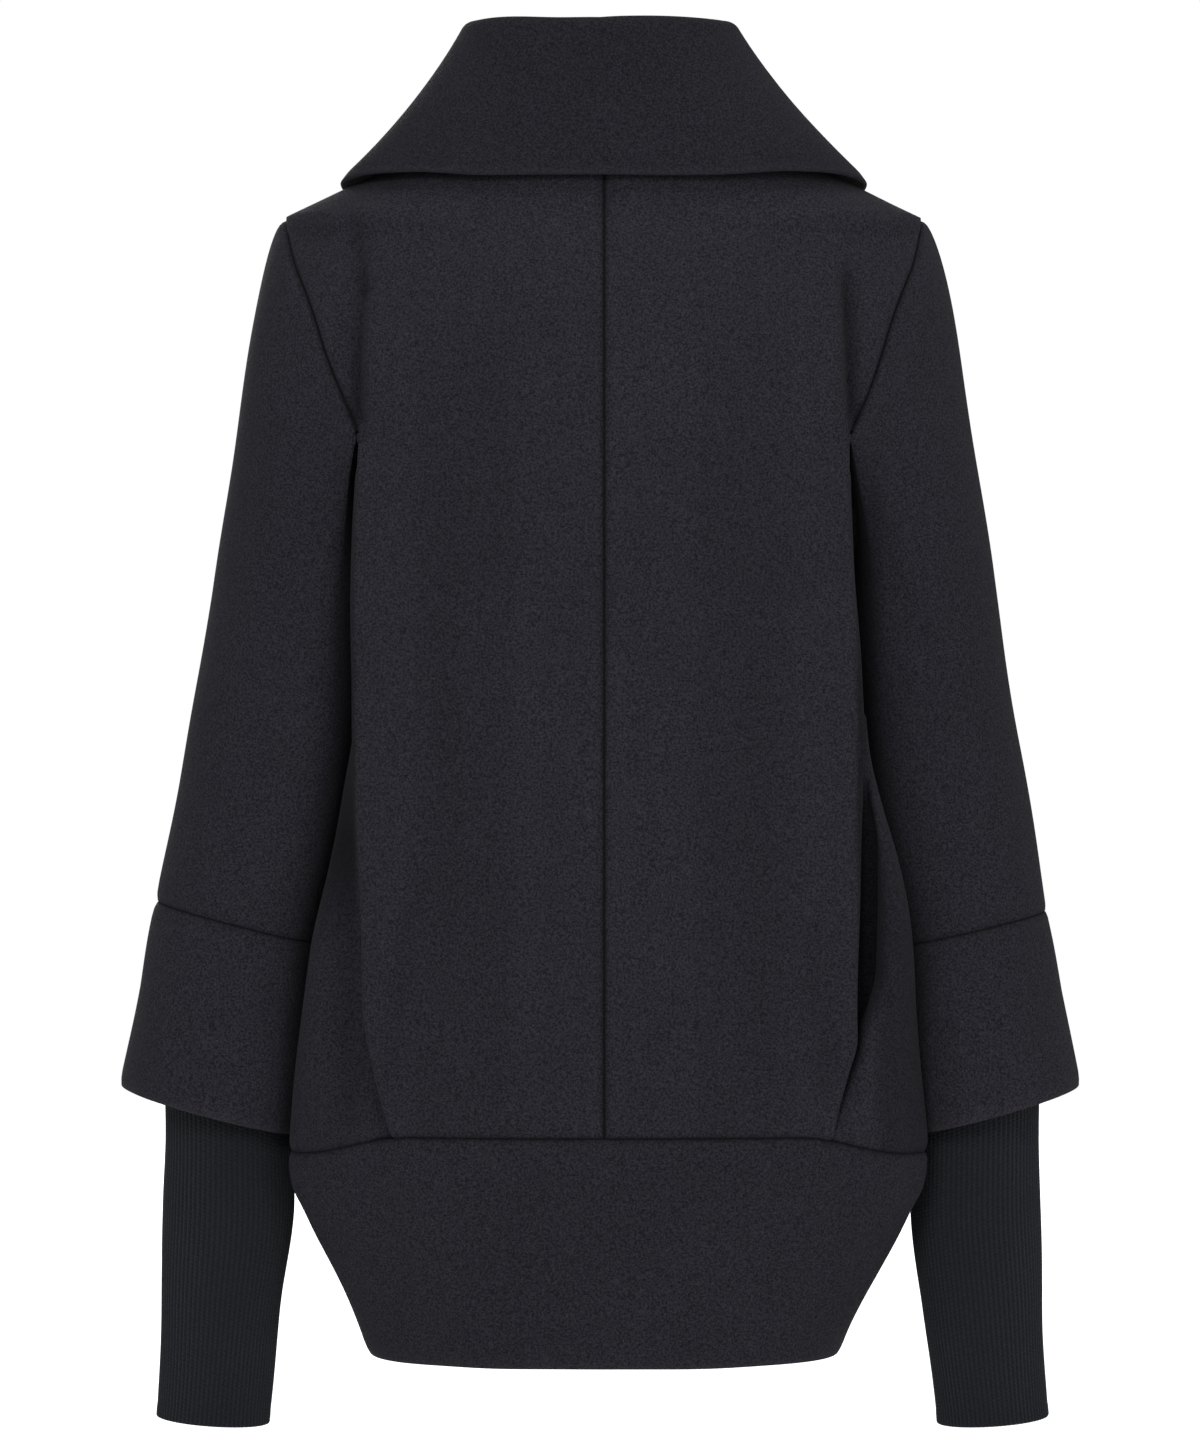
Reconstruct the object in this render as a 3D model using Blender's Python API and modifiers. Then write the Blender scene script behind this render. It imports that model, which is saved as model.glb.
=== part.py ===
"""Cocoon-shaped wool coat, hollow: panels, set-in sleeves, flared cuffs, rib tubes, band and collar.

Lengths are millimetres. X runs to the wearer's left, Y to the back, Z up. A drop is a height
measured downwards from the back neck, so z = -drop. Side +1 is the wearer's left.
"""
import math

import bpy
import numpy as np

WOOL = 2.4            # wall of the coating wool
DOUBLE = 3.6          # collar and hem band: two layers sewn together
KNIT = 1.6            # plain wall of the rib tubes
RIB_RISE = 0.6        # height of a rib over the plain wall
RIBS = 60             # ribs round one tube
SEAM = 0.3            # gap between two sewn pieces
BAND_GAP = 0.7        # panels stop this far over the band seam line, clear of the pleat's thickness

NECK_HALF = 72.0      # neck point to the centre
NECK_BACK = 58.0      # neck depth behind the shoulder ridge
NECK_FRONT = 82.0     # neck depth before the shoulder ridge
NECK_FALL = 85.0      # drop of the front neck
TIP_X = 202.0         # shoulder tip
TIP_DROP = 64.0
FOLD_DROP = 193.0     # where the back fold leaves the armhole
ARM_DROP = 235.0      # underarm
BAND_DROP = 643.0     # hem band seam at the centre back
HEM_DROP = 788.0
SIDE_SAG = 13.0       # how far the band seam dips at the side seams
LAP = 40.0            # front overlap past the centre
LAP_RISE = 3.6        # the right front lies this far over the left one
NECK_RISE = 2.4       # and this much further at the rounder neck
PACK = 16.0           # strip beside the armhole that holds the pleat's columns
PART_LEAST = 4.5      # least length of a part of the fold, so that its columns stay apart
SHOULDER_TRIM = 1.0   # the front stops this far before the shoulder ridge
TRIM = 0.4            # a panel stops this far from its side seam line

SHOULDER_ROWS = 5
ARM_DROPS = (64, 78, 94, 113, 132, 152, 172, 193, 207, 221, 235)
BODY_DROPS = (262, 300, 345, 395, 445, 490, 528, 562, 595, 622, 643)
BACK_SPANS = (7, 3, 1, 3, 5)     # columns: panel, fold, tuck, return, side
FRONT_COLUMNS = 12
NECK_COLUMNS = 5


def smooth(value):
    """Soft step from 0 to 1."""
    value = min(max(value, 0.0), 1.0)
    return value * value * (3.0 - 2.0 * value)


def mix(a, b, share):
    return a + (b - a) * share


class Table:
    """Short table read by column name, with a shape-keeping cubic between its rows."""

    def __init__(self, columns, rows):
        self.data = {}
        for index, column in enumerate(columns):
            self.data[column] = np.array([row[index] for row in rows], float)
        self.key = self.data[columns[0]]

    def at(self, column, place):
        x = self.key
        y = self.data[column]
        gap = np.diff(x)
        rate = np.diff(y) / gap
        slope = np.zeros(len(x))
        slope[0] = rate[0]
        slope[-1] = rate[-1]
        for i in range(1, len(x) - 1):
            if rate[i - 1] * rate[i] > 0.0:
                near = 2.0 * gap[i] + gap[i - 1]
                far = gap[i] + 2.0 * gap[i - 1]
                slope[i] = (near + far) / (near / rate[i - 1] + far / rate[i])
        place = min(max(place, x[0]), x[-1])
        i = min(int(np.searchsorted(x, place, side="right")) - 1, len(x) - 2)
        t = (place - x[i]) / gap[i]
        value = y[i] * (1.0 + 2.0 * t) * (1.0 - t) ** 2
        value += slope[i] * gap[i] * t * (1.0 - t) ** 2
        value += y[i + 1] * t * t * (3.0 - 2.0 * t)
        value += slope[i + 1] * gap[i] * t * t * (t - 1.0)
        return float(value)


# Centre lines of the body, back and front, and the roundness of the back half ring.
CENTRE = Table(
    ("drop", "back", "front", "power", "round"),
    (
        (0, 58, 70, 2.2, 2.00),
        (30, 74, 76, 2.2, 2.00),
        (64, 88, 86, 2.3, 2.00),
        (80, 95, 90, 2.2, 1.20),
        (94, 100, 94, 2.2, 1.00),
        (132, 110, 102, 2.3, 1.00),
        (193, 119, 110, 2.5, 1.00),
        (235, 122, 113, 2.6, 1.00),
        (300, 125, 117, 2.6, 1.00),
        (400, 128, 121, 2.6, 1.00),
        (500, 127, 122, 2.6, 1.00),
        (560, 124, 120, 2.6, 1.00),
        (643, 115, 113, 2.6, 1.00),
    ),
)

# Outer edge of the flat back: down the armhole, then down the long fold to the pleat's foot.
EDGE = Table(
    ("drop", "left", "right", "y"),
    (
        (64, 202.0, 202.0, 0),
        (78, 200.0, 200.0, 25),
        (94, 196.0, 196.0, 43),
        (113, 188.5, 188.5, 57),
        (132, 180.5, 180.5, 68),
        (152, 172.0, 172.0, 77),
        (172, 163.0, 164.0, 84),
        (193, 152.5, 155.0, 89),
        (235, 150.5, 155.0, 97),
        (300, 150.0, 156.0, 104),
        (400, 150.5, 157.0, 108),
        (500, 151.0, 157.5, 109),
        (560, 150.5, 156.5, 108),
        (600, 146.0, 152.5, 106),
        (643, 133.5, 143.0, 102),
    ),
)

# The fold: how far the cloth turns at the edge, its radius, the tuck, and the way it leaves.
PLEAT = Table(
    ("drop", "turn", "radius", "tuck", "leave"),
    (
        (193, 42, 5.0, 3, -88),
        (235, 48, 5.0, 3, -88),
        (300, 60, 5.0, 3, -88),
        (400, 76, 5.0, 3, -86),
        (470, 96, 4.6, 5, -72),
        (520, 118, 4.2, 9, -56),
        (560, 138, 3.8, 14, -42),
        (600, 158, 2.9, 19, -26),
        (643, 176, 1.8, 23, -9),
    ),
)

# Side panel between the fold and the side seam: its fullness and the seam itself.
SIDE = Table(
    ("drop", "left", "right", "full_y", "seam"),
    (
        (193, 151, 152, 46, 150),
        (235, 151, 152, 50, 149),
        (300, 150, 152, 54, 147),
        (350, 151, 154, 58, 148),
        (435, 164, 169, 62, 159),
        (480, 172, 184, 65, 166),
        (525, 182, 193, 67, 174),
        (580, 189, 197, 65, 179),
        (643, 193, 199, 58, 187),
    ),
)

# Front armhole, from the shoulder tip to the underarm.
FRONT_ARM = Table(
    ("drop", "x", "y"),
    (
        (64, 202, 0),
        (94, 194, -27),
        (132, 178, -50),
        (172, 160, -62),
        (200, 151, -57),
        (221, 148, -35),
        (235, 149, 0),
    ),
)

# Rings of the sleeve and cuff: outer and inner points, depth behind and before, and how much
# further in the right arm hangs.
ARM = Table(
    ("station", "out_x", "out_z", "in_x", "in_z", "back", "front", "mid_y", "right_out", "right_in"),
    (
        (0, 250.5, -310, 153, -318, 61, 63, 0, 0.0, 0.0),
        (1, 267.5, -402, 164.5, -424, 59, 60, -2, -2.0, -1.0),
        (2, 284.3, -493, 183, -525, 57, 58, -4, -4.0, -2.0),
        (3, 308.5, -618, 196.5, -648, 64, 64, -4, -5.0, -3.0),
    ),
)

# How a sleeve leaves the armhole, by its place round the loop (0 tip, 1 underarm).
CAP = Table(
    ("place", "dx", "dy", "dz", "reach", "gap"),
    (
        (0.0, 0.87, 0.00, -0.49, 66, 1.0),
        (0.2, 0.86, -0.22, -0.47, 70, 0.9),
        (0.5, 0.84, -0.28, -0.48, 76, 1.0),
        (0.7, 0.90, 0.00, -0.42, 60, 4.3),
        (0.8, 0.94, 0.04, -0.33, 46, 6.0),
        (0.9, 0.94, 0.06, -0.34, 38, 4.6),
        (1.0, 0.94, 0.00, -0.34, 34, 2.7),
    ),
)

# Rib tube from the cuff seam to its end: centre, half width, half depth, tilt, right arm's shift.
RIB = Table(
    ("drop", "x", "half", "depth", "tilt", "right"),
    (
        (509, 233.6, 46.6, 54.6, 16.0, -3.0),
        (540, 237.3, 43.0, 48.0, 12.0, -2.8),
        (600, 240.2, 40.4, 43.0, 5.0, -2.5),
        (650, 240.4, 40.2, 42.0, 3.0, -2.5),
        (690, 240.4, 41.0, 41.5, 2.0, -3.0),
        (760, 245.0, 37.4, 39.0, 2.0, -2.6),
        (831, 250.6, 34.6, 36.0, 2.5, -1.6),
    ),
)

# Hem band: how far its ring has gone from the panels' ring to the hem ring.
BAND = Table(
    ("drop", "taper"),
    (
        (643, 0.0),
        (663, 0.04),
        (681, 0.17),
        (702, 0.32),
        (745, 0.66),
        (788, 1.0),
    ),
)
HEM_HALF = 148.5      # half width of the hem
HEM_DEEP = 99.0       # half depth of the hem
HEM_POWER = 2.45
PLEAT_EASE = 9.0      # the band leaves the pleat's edge this far before it

# Collar, half round from the centre back: fold top, lower edge, and the slopes of its fall.
COLLAR = Table(
    ("turn", "top", "edge_x", "edge_y", "edge_z", "lean", "steep", "flare"),
    (
        (0, 55, 0, 92, -44.0, 3.0, 6, 12),
        (30, 57, 80, 84, -44.0, 3.5, 12, 20),
        (60, 59, 140, 58, -43.0, 4.0, 22, 36),
        (80, 60, 166, 22, -41.0, 4.0, 29, 48),
        (92, 60, 169, -4, -40.5, 4.0, 30, 50),
        (112, 56, 163, -48, -50.0, 4.0, 30, 42),
        (136, 42, 124, -92, -84.0, 5.0, 26, 30),
        (160, 10, 62, -116, -126.0, 4.0, 18, 16),
        (180, -22, 2.0, -123, -148.0, 3.0, 12, 8),
    ),
)
COLLAR_FOLD = 6.2      # radius of the collar's rolled fold
COLLAR_SWAY = 2.5      # the fold leans this far to the wearer's left
COLLAR_SEAT = 1.9      # the stand sits this far over the neck edge


def settle(point):
    """Dip of the band seam towards the side seams."""
    x, y, z = point
    drop = -z
    down = smooth((drop - 430.0) / (BAND_DROP - 430.0))
    if drop > BAND_DROP:
        down = smooth((HEM_DROP - drop) / (HEM_DROP - BAND_DROP))
    return (x, y, z - SIDE_SAG * down * smooth((abs(x) - 120.0) / 75.0))


def lengths(path):
    steps = np.hypot(np.diff(path[:, 0]), np.diff(path[:, 1]))
    return np.concatenate(([0.0], np.cumsum(steps)))


def along(path, run, distance):
    x = np.interp(distance, run, path[:, 0])
    y = np.interp(distance, run, path[:, 1])
    return float(x), float(y)


def arc(pen, heading, turn, radius, steps):
    """Walk round a bend; positive turns go left."""
    walked = []
    x, y = pen
    for _ in range(steps):
        heading += turn / steps * 0.5
        stride = 2.0 * radius * math.sin(abs(turn) / steps * 0.5)
        x += stride * math.cos(heading)
        y += stride * math.sin(heading)
        heading += turn / steps * 0.5
        walked.append((x, y))
    return walked, heading


def hermite(start, start_way, end, end_way, share):
    t = share
    a = (1.0 + 2.0 * t) * (1.0 - t) ** 2
    b = t * (1.0 - t) ** 2
    c = t * t * (3.0 - 2.0 * t)
    d = t * t * (t - 1.0)
    return a * np.asarray(start) + b * np.asarray(start_way) + c * np.asarray(end) + d * np.asarray(end_way)


def back_edge(side, drop):
    if drop <= TIP_DROP:
        return mix(NECK_HALF, TIP_X, drop / TIP_DROP), 0.0
    return EDGE.at("left" if side > 0 else "right", drop), EDGE.at("y", drop)


def back_path(side, drop):
    """Half ring of the back, centre seam to side seam, and the lengths where its parts end."""
    edge_x, edge_y = back_edge(side, drop)
    middle = CENTRE.at("back", drop)
    power = CENTRE.at("power", drop)
    roundness = CENTRE.at("round", drop)
    crowd = 0.3 + 0.68 * min(1.0, (roundness - 1.0) / 0.2)
    share = np.linspace(0.0, 1.0, 81)
    share = np.sin(crowd * share * math.pi / 2.0) / math.sin(crowd * math.pi / 2.0)
    share = np.clip(share, 0.0, 1.0)
    height = (1.0 - share ** power) ** (1.0 / roundness)
    path = [(edge_x * s, edge_y + (middle - edge_y) * h) for s, h in zip(share, height)]
    marks = [len(path) - 1]
    if drop > FOLD_DROP:
        heading = math.atan2(path[-1][1] - path[-2][1], path[-1][0] - path[-2][0])
        radius = PLEAT.at("radius", drop)
        bend, heading = arc(path[-1], heading, -math.radians(PLEAT.at("turn", drop)), radius, 12)
        path += bend
        marks.append(len(path) - 1)
        tuck = PLEAT.at("tuck", drop)
        for step in (0.5, 1.0):
            path.append((bend[-1][0] + tuck * step * math.cos(heading),
                         bend[-1][1] + tuck * step * math.sin(heading)))
        marks.append(len(path) - 1)
        leave = math.radians(PLEAT.at("leave", drop))
        back_turn = max(leave - heading, math.radians(2.0))
        bend, heading = arc(path[-1], heading, back_turn, radius, 12)
        path += bend
        marks.append(len(path) - 1)
        start = np.array(path[-1])
        full = np.array((SIDE.at("left" if side > 0 else "right", drop), SIDE.at("full_y", drop)))
        seam = np.array((SIDE.at("seam", drop), 0.0))
        way = (seam - start) / np.linalg.norm(seam - start)
        first = np.linalg.norm(full - start)
        last = np.linalg.norm(seam - full)
        begin = np.array((math.cos(heading), math.sin(heading)))
        finish = (seam - full) / last
        for step in np.linspace(0.0, 1.0, 25)[1:]:
            path.append(tuple(hermite(start, begin * first, full, way * first, step)))
        for step in np.linspace(0.0, 1.0, 25)[1:]:
            path.append(tuple(hermite(full, way * last, seam, finish * last, step)))
        marks.append(len(path) - 1)
    path = np.array(path)
    run = lengths(path)
    stops = [run[m] for m in marks]
    while len(stops) < 5:
        stops.append(stops[-1])
    for part in (1, 2, 3):
        stops[part] = min(max(stops[part], stops[part - 1] + PART_LEAST), stops[4])
    return path, run, stops


def span_columns(spans, fine):
    """Column places: whole numbers mark the ends of the parts of a ring."""
    places = [0.0]
    for index, count in enumerate(spans):
        for step in range(1, count * fine + 1):
            places.append(index + step / (count * fine))
    return places


def back_row(side, drop, places):
    path, run, stops = back_path(side, drop)
    end = stops[4]
    if FOLD_DROP < drop < ARM_DROP:
        end = mix(stops[0], stops[4], (drop - FOLD_DROP) / (ARM_DROP - FOLD_DROP))
    end -= TRIM
    ends = [0.0]
    for index in range(5):
        ends.append(min(stops[index], end - PACK * (4 - index) / 4.0))
    row = []
    for place in places:
        part = min(int(place), 4)
        x, y = along(path, run, mix(ends[part], ends[part + 1], place - part))
        row.append(settle((side * max(x, SEAM * 0.5), y, -drop)))
    return row


def back_grid(side, fine):
    drops = [TIP_DROP * i / SHOULDER_ROWS for i in range(SHOULDER_ROWS)]
    drops += list(ARM_DROPS) + list(BODY_DROPS)
    drops[-1] -= BAND_GAP
    places = span_columns(BACK_SPANS, fine)
    return [back_row(side, drop, places) for drop in refine(drops, fine)]


def refine(values, fine):
    finer = []
    for a, b in zip(values[:-1], values[1:]):
        finer += [mix(a, b, i / fine) for i in range(fine)]
    return finer + [values[-1]]


def front_ring(drop):
    """Front half ring from the lap edge to the side seam."""
    seam = SIDE.at("seam", drop)
    deep = CENTRE.at("front", drop)
    power = 2.5
    lap_turn = -math.asin((LAP / seam) ** (power / 2.0))
    path = []
    for turn in np.linspace(lap_turn, math.pi / 2.0, 121):
        s = abs(math.sin(turn)) ** (2.0 / power)
        c = max(math.cos(turn), 0.0) ** (2.0 / power)
        path.append((math.copysign(s, turn) * seam, -deep * c))
    path = np.array(path)
    return path, lengths(path)


def neck_front(turn):
    """Front neck edge; turn 0 at the centre, 90 degrees at the neck point."""
    low = max(math.cos(turn), 0.0)
    return np.array((NECK_HALF * math.sin(turn), -NECK_FRONT * low, -NECK_FALL * low ** 1.4))


def front_top(u):
    """Neck edge, then the shoulder seam."""
    turn = NECK_COLUMNS / FRONT_COLUMNS
    if u < turn:
        start = -math.asin(LAP / NECK_HALF)
        return neck_front(mix(start, math.pi / 2.0, u / turn))
    share = (u - turn) / (1.0 - turn)
    return np.array((mix(NECK_HALF, TIP_X, share), 0.0, -TIP_DROP * share))


def front_way(u):
    """Direction in which the cloth leaves the neck or shoulder, the same on both sides of the centre."""
    start = -math.asin(LAP / NECK_HALF)
    turn = mix(start, math.pi / 2.0, min(u * FRONT_COLUMNS / NECK_COLUMNS, 1.0))
    share = smooth(abs(turn) / (math.pi / 2.0))
    way = np.array((0.0, mix(-0.30, -0.80, share), mix(-0.95, -0.60, share)))
    return way / np.linalg.norm(way)


def front_upper(u, drop):
    """Front from the neck and shoulder to the underarm level."""
    path, run = front_ring(ARM_DROP)
    t = (drop - TIP_DROP) / (ARM_DROP - TIP_DROP)

    def column(place):
        x, y = along(path, run, run[-1] * place)
        low = np.array((x, y, -ARM_DROP))
        top = front_top(place)
        reach = np.linalg.norm(low - top)
        return hermite(top, front_way(place) * reach, low, np.array((0.0, 0.0, -reach)), t)

    arm = np.array((FRONT_ARM.at("x", drop), FRONT_ARM.at("y", drop), -drop))
    return column(u) + (arm - column(1.0)) * u ** 5


def front_point(side, u, drop):
    if drop <= ARM_DROP:
        x, y, z = front_upper(u, drop)
    else:
        path, run = front_ring(drop)
        x, y = along(path, run, run[-1] * u)
        z = -drop
    if side < 0:
        rise = LAP_RISE + NECK_RISE * (1.0 - smooth((drop - TIP_DROP) / 160.0))
        fade = mix(12.0, 48.0, smooth((drop - TIP_DROP) / 160.0))
        y -= rise * smooth((LAP + 3.0 + fade - x) / fade)
    return x, y, z


def front_grid(side, fine):
    drops = list(ARM_DROPS) + list(BODY_DROPS)
    drops[-1] -= BAND_GAP
    grid = []
    for drop in refine(drops, fine):
        row = []
        for step in range(FRONT_COLUMNS * fine + 1):
            x, y, z = front_point(side, step / (FRONT_COLUMNS * fine), drop)
            row.append([x, y, z])
        rim = np.array(row[-1]) - np.array(row[-2])
        row[-1] = list(np.array(row[-1]) - rim / np.linalg.norm(rim) * TRIM)
        grid.append([settle((side * p[0], p[1], p[2])) for p in row])
    for place in range(NECK_COLUMNS * fine, FRONT_COLUMNS * fine + 1):
        down = np.array(grid[1][place]) - np.array(grid[0][place])
        down *= SHOULDER_TRIM / np.linalg.norm(down)
        grid[0][place] = tuple(np.array(grid[0][place]) + down)
    return grid


def armhole(side, fine):
    """Loop of the armhole: shoulder tip, back, underarm, front."""
    drops = refine(list(ARM_DROPS), fine)
    loop = []
    for index, drop in enumerate(drops):
        path, run, stops = back_path(side, drop)
        end = stops[4]
        if FOLD_DROP < drop < ARM_DROP:
            end = mix(stops[0], stops[4], (drop - FOLD_DROP) / (ARM_DROP - FOLD_DROP))
        x, y = along(path, run, end)
        loop.append(((x, y, -drop), index / (len(drops) - 1), 1.0))
    for index in range(len(drops) - 2, 0, -1):
        drop = drops[index]
        point = (FRONT_ARM.at("x", drop), FRONT_ARM.at("y", drop), -drop)
        loop.append((point, index / (len(drops) - 1), -1.0))
    return loop


def arm_ring(side, station, turn):
    """Point of a sleeve ring; turn 0 outside, quarter behind, half inside."""
    outer = np.array((ARM.at("out_x", station), ARM.at("mid_y", station), ARM.at("out_z", station)))
    inner = np.array((ARM.at("in_x", station), ARM.at("mid_y", station), ARM.at("in_z", station)))
    if side < 0:
        outer[0] += ARM.at("right_out", station)
        inner[0] += ARM.at("right_in", station)
    centre = (outer + inner) / 2.0
    deep = ARM.at("back" if math.sin(turn) >= 0.0 else "front", station)
    point = centre + (outer - inner) / 2.0 * math.cos(turn)
    point[1] += deep * math.sin(turn)
    return point


def sleeve_grid(side, fine):
    loop = armhole(side, fine)
    grid = []
    cap_rows = 7 * fine
    for row_index in range(cap_rows + 1):
        t = row_index / cap_rows
        row = []
        for index, (point, place, facing) in enumerate(loop):
            turn = 2.0 * math.pi * index / len(loop)
            way = np.array((CAP.at("dx", place), CAP.at("dy", place) * facing, CAP.at("dz", place)))
            way /= np.linalg.norm(way)
            start = np.array(point) + way * CAP.at("gap", place)
            low = arm_ring(side, 0.0, turn)
            on = arm_ring(side, 0.05, turn) - low
            on /= np.linalg.norm(on)
            reach = np.linalg.norm(low - start)
            start_way = way * CAP.at("reach", place)
            row.append(hermite(start, start_way, low, on * reach * 0.95, t))
        grid.append(row)
    lower = 6 * fine
    for row_index in range(1, lower + 1):
        station = 2.0 * row_index / lower
        row = [arm_ring(side, station, 2.0 * math.pi * i / len(loop)) for i in range(len(loop))]
        grid.append(row)
    grid[-1] = [p + np.array((0.0, 0.0, SEAM * 0.5)) for p in grid[-1]]
    return [[(side * p[0], p[1], p[2]) for p in row] for row in grid]


def cuff_grid(side, fine):
    columns = 20 * fine
    rows = 4 * fine
    grid = []
    for row_index in range(rows + 1):
        share = row_index / rows
        row = []
        for index in range(columns):
            turn = 2.0 * math.pi * index / columns
            top = arm_ring(side, 2.0, turn) - np.array((0.0, 0.0, SEAM * 0.5))
            point = top + (arm_ring(side, 3.0, turn) - top) * share
            middle = (arm_ring(side, 2.0, 0.0) + arm_ring(side, 2.0, math.pi)) / 2.0
            swell = 1.2 * math.sin(math.pi * min(share * 2.2, 1.0)) + 0.6 * smooth(share * 5.0)
            away = point - middle
            away[2] = 0.0
            point = point + away / np.linalg.norm(away) * swell
            row.append((side * point[0], point[1], point[2]))
        grid.append(row)
    return grid


def rib_grid(side, columns, rows):
    grid = []
    for row_index in range(rows + 1):
        drop = mix(509.0, 831.0, row_index / rows)
        half = RIB.at("half", drop)
        middle = RIB.at("x", drop) + (RIB.at("right", drop) if side < 0 else 0.0)
        row = []
        for index in range(columns):
            turn = -side * 2.0 * math.pi * index / columns
            x = middle + half * math.cos(turn)
            y = -4.0 + RIB.at("depth", drop) * math.sin(turn)
            z = -drop + RIB.at("tilt", drop) * math.cos(turn)
            row.append((side * x, y, z))
        grid.append(row)
    return grid


def even(path, count):
    """Same path with evenly spaced points."""
    run = lengths(path)
    return np.array([along(path, run, run[-1] * i / count) for i in range(count + 1)])


def band_top(side):
    """Ring of the panels at the band seam, running on under the pleat: centre back to lap edge."""
    path, run, stops = back_path(side, BAND_DROP)
    leave = stops[0] - PLEAT_EASE
    rejoin = stops[3]
    while along(path, run, rejoin)[0] < along(path, run, stops[0])[0] + PLEAT_EASE * 2.0:
        rejoin += 0.5
    start = np.array(along(path, run, leave))
    finish = np.array(along(path, run, rejoin))
    reach = np.linalg.norm(finish - start)
    start_way = (np.array(along(path, run, leave + 0.5)) - start) / 0.5 * reach
    finish_way = (np.array(along(path, run, rejoin + 0.5)) - finish) / 0.5 * reach
    ring = [along(path, run, leave * i / 40.0) for i in range(41)]
    for step in np.linspace(0.0, 1.0, 21)[1:]:
        ring.append(tuple(hermite(start, start_way, finish, finish_way, step)))
    for step in np.linspace(0.0, 1.0, 41)[1:]:
        ring.append(along(path, run, mix(rejoin, stops[4], step)))
    front, _ = front_ring(BAND_DROP)
    return even(np.array(ring), 100), even(front[::-1], 100)


def band_hem():
    """Hem ring, centre back to side, then side to lap edge."""
    back = []
    for turn in np.linspace(0.0, math.pi / 2.0, 101):
        back.append((HEM_HALF * math.sin(turn) ** (2.0 / HEM_POWER),
                     HEM_DEEP * max(math.cos(turn), 0.0) ** (2.0 / HEM_POWER)))
    lap_turn = math.asin((LAP / HEM_HALF) ** (HEM_POWER / 2.0))
    front = []
    for turn in np.linspace(math.pi / 2.0, -lap_turn, 121):
        x = math.copysign(abs(math.sin(turn)) ** (2.0 / HEM_POWER), turn)
        front.append((HEM_HALF * x, -HEM_DEEP * max(math.cos(turn), 0.0) ** (2.0 / HEM_POWER)))
    return even(np.array(back), 100), even(np.array(front), 100)


def band_grid(fine):
    """One strip from the left lap edge round the back to the right lap edge."""
    rows = 5 * fine
    hem_back, hem_front = band_hem()
    run = np.linspace(0.0, 1.0, 101)
    back_count = 13 * fine
    front_count = 15 * fine
    grid = []
    for row_index in range(rows + 1):
        drop = mix(BAND_DROP + SEAM * 0.5, HEM_DROP, row_index / rows)
        taper = BAND.at("taper", drop)
        halves = []
        for side in (1.0, -1.0):
            top_back, top_front = band_top(side)
            back = mix(top_back, hem_back, taper)
            front = mix(top_front, hem_front, taper)
            half = [along(back, run, i / back_count) for i in range(back_count)]
            half += [along(front, run, i / front_count) for i in range(front_count + 1)]
            line = []
            for x, y in half:
                if side < 0.0 and y < 0.0:
                    y -= (LAP_RISE + 1.6) * smooth((LAP + 50.0 - x) / 48.0)
                line.append(settle((side * x, y, -drop)))
            halves.append(line)
        grid.append(halves[0][::-1] + halves[1][1:])
    return grid


def neck_seat(turn):
    """Neck edge under the collar; turn in degrees from the centre back."""
    angle = math.radians(turn)
    if turn <= 90.0:
        share = math.sin(angle)
        return np.array((NECK_HALF * share, NECK_BACK * math.sqrt(max(1.0 - share ** 2.2, 0.0)), 0.0))
    return neck_front(math.pi - angle)


def collar_profile(turn, fine):
    """Stand, rolled fold and fall in the upright plane from the neck seam to the edge."""
    lift = COLLAR_SEAT * (1.0 + 1.4 * smooth((turn - 90.0) / 40.0))
    seat = neck_seat(turn) + np.array((0.0, 0.0, lift))
    edge = np.array((COLLAR.at("edge_x", turn), COLLAR.at("edge_y", turn), COLLAR.at("edge_z", turn)))
    way = np.array((edge[0] - seat[0], edge[1] - seat[1], 0.0))
    reach = np.linalg.norm(way)
    way /= reach
    top = COLLAR.at("top", turn) - COLLAR_FOLD
    lean = COLLAR.at("lean", turn)
    steep = math.radians(COLLAR.at("steep", turn))
    flare = math.radians(COLLAR.at("flare", turn))
    flat = []
    for share in np.linspace(0.0, 1.0, 3 * fine + 1):
        flat.append((lean * smooth(share), mix(seat[2], top, share)))
    bend = math.pi - steep
    steps = 5 * fine
    for step in range(1, steps + 1):
        angle = math.pi - bend * step / steps
        flat.append((lean + COLLAR_FOLD + COLLAR_FOLD * math.cos(angle), top + COLLAR_FOLD * math.sin(angle)))
    start = np.array(flat[-1])
    finish = np.array((reach, edge[2]))
    length = np.linalg.norm(finish - start)
    start_way = np.array((math.sin(steep), -math.cos(steep))) * length
    end_way = np.array((math.sin(flare), -math.cos(flare))) * length
    for share in np.linspace(0.0, 1.0, 7 * fine + 1)[1:]:
        flat.append(tuple(hermite(start, start_way, finish, end_way, share)))
    return [(seat[0] + way[0] * r, seat[1] + way[1] * r, z) for r, z in flat]


def collar_grid(fine):
    columns = 36 * fine
    grid = []
    for index in range(columns + 1):
        turn = -180.0 + 360.0 * index / columns
        side = 1.0 if turn >= 0.0 else -1.0
        line = []
        for x, y, z in collar_profile(abs(turn), fine):
            if abs(turn) > 179.9:
                x = 2.3
            line.append((side * x + COLLAR_SWAY * smooth((z + 44.0) / 100.0), y, z))
        grid.append(line)
    return grid


def material(name, colour, roughness):
    made = bpy.data.materials.new(name)
    made.use_nodes = True
    shader = made.node_tree.nodes["Principled BSDF"]
    shader.inputs["Base Color"].default_value = (*colour, 1.0)
    shader.inputs["Roughness"].default_value = roughness
    shader.inputs["Metallic"].default_value = 0.0
    return made


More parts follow.
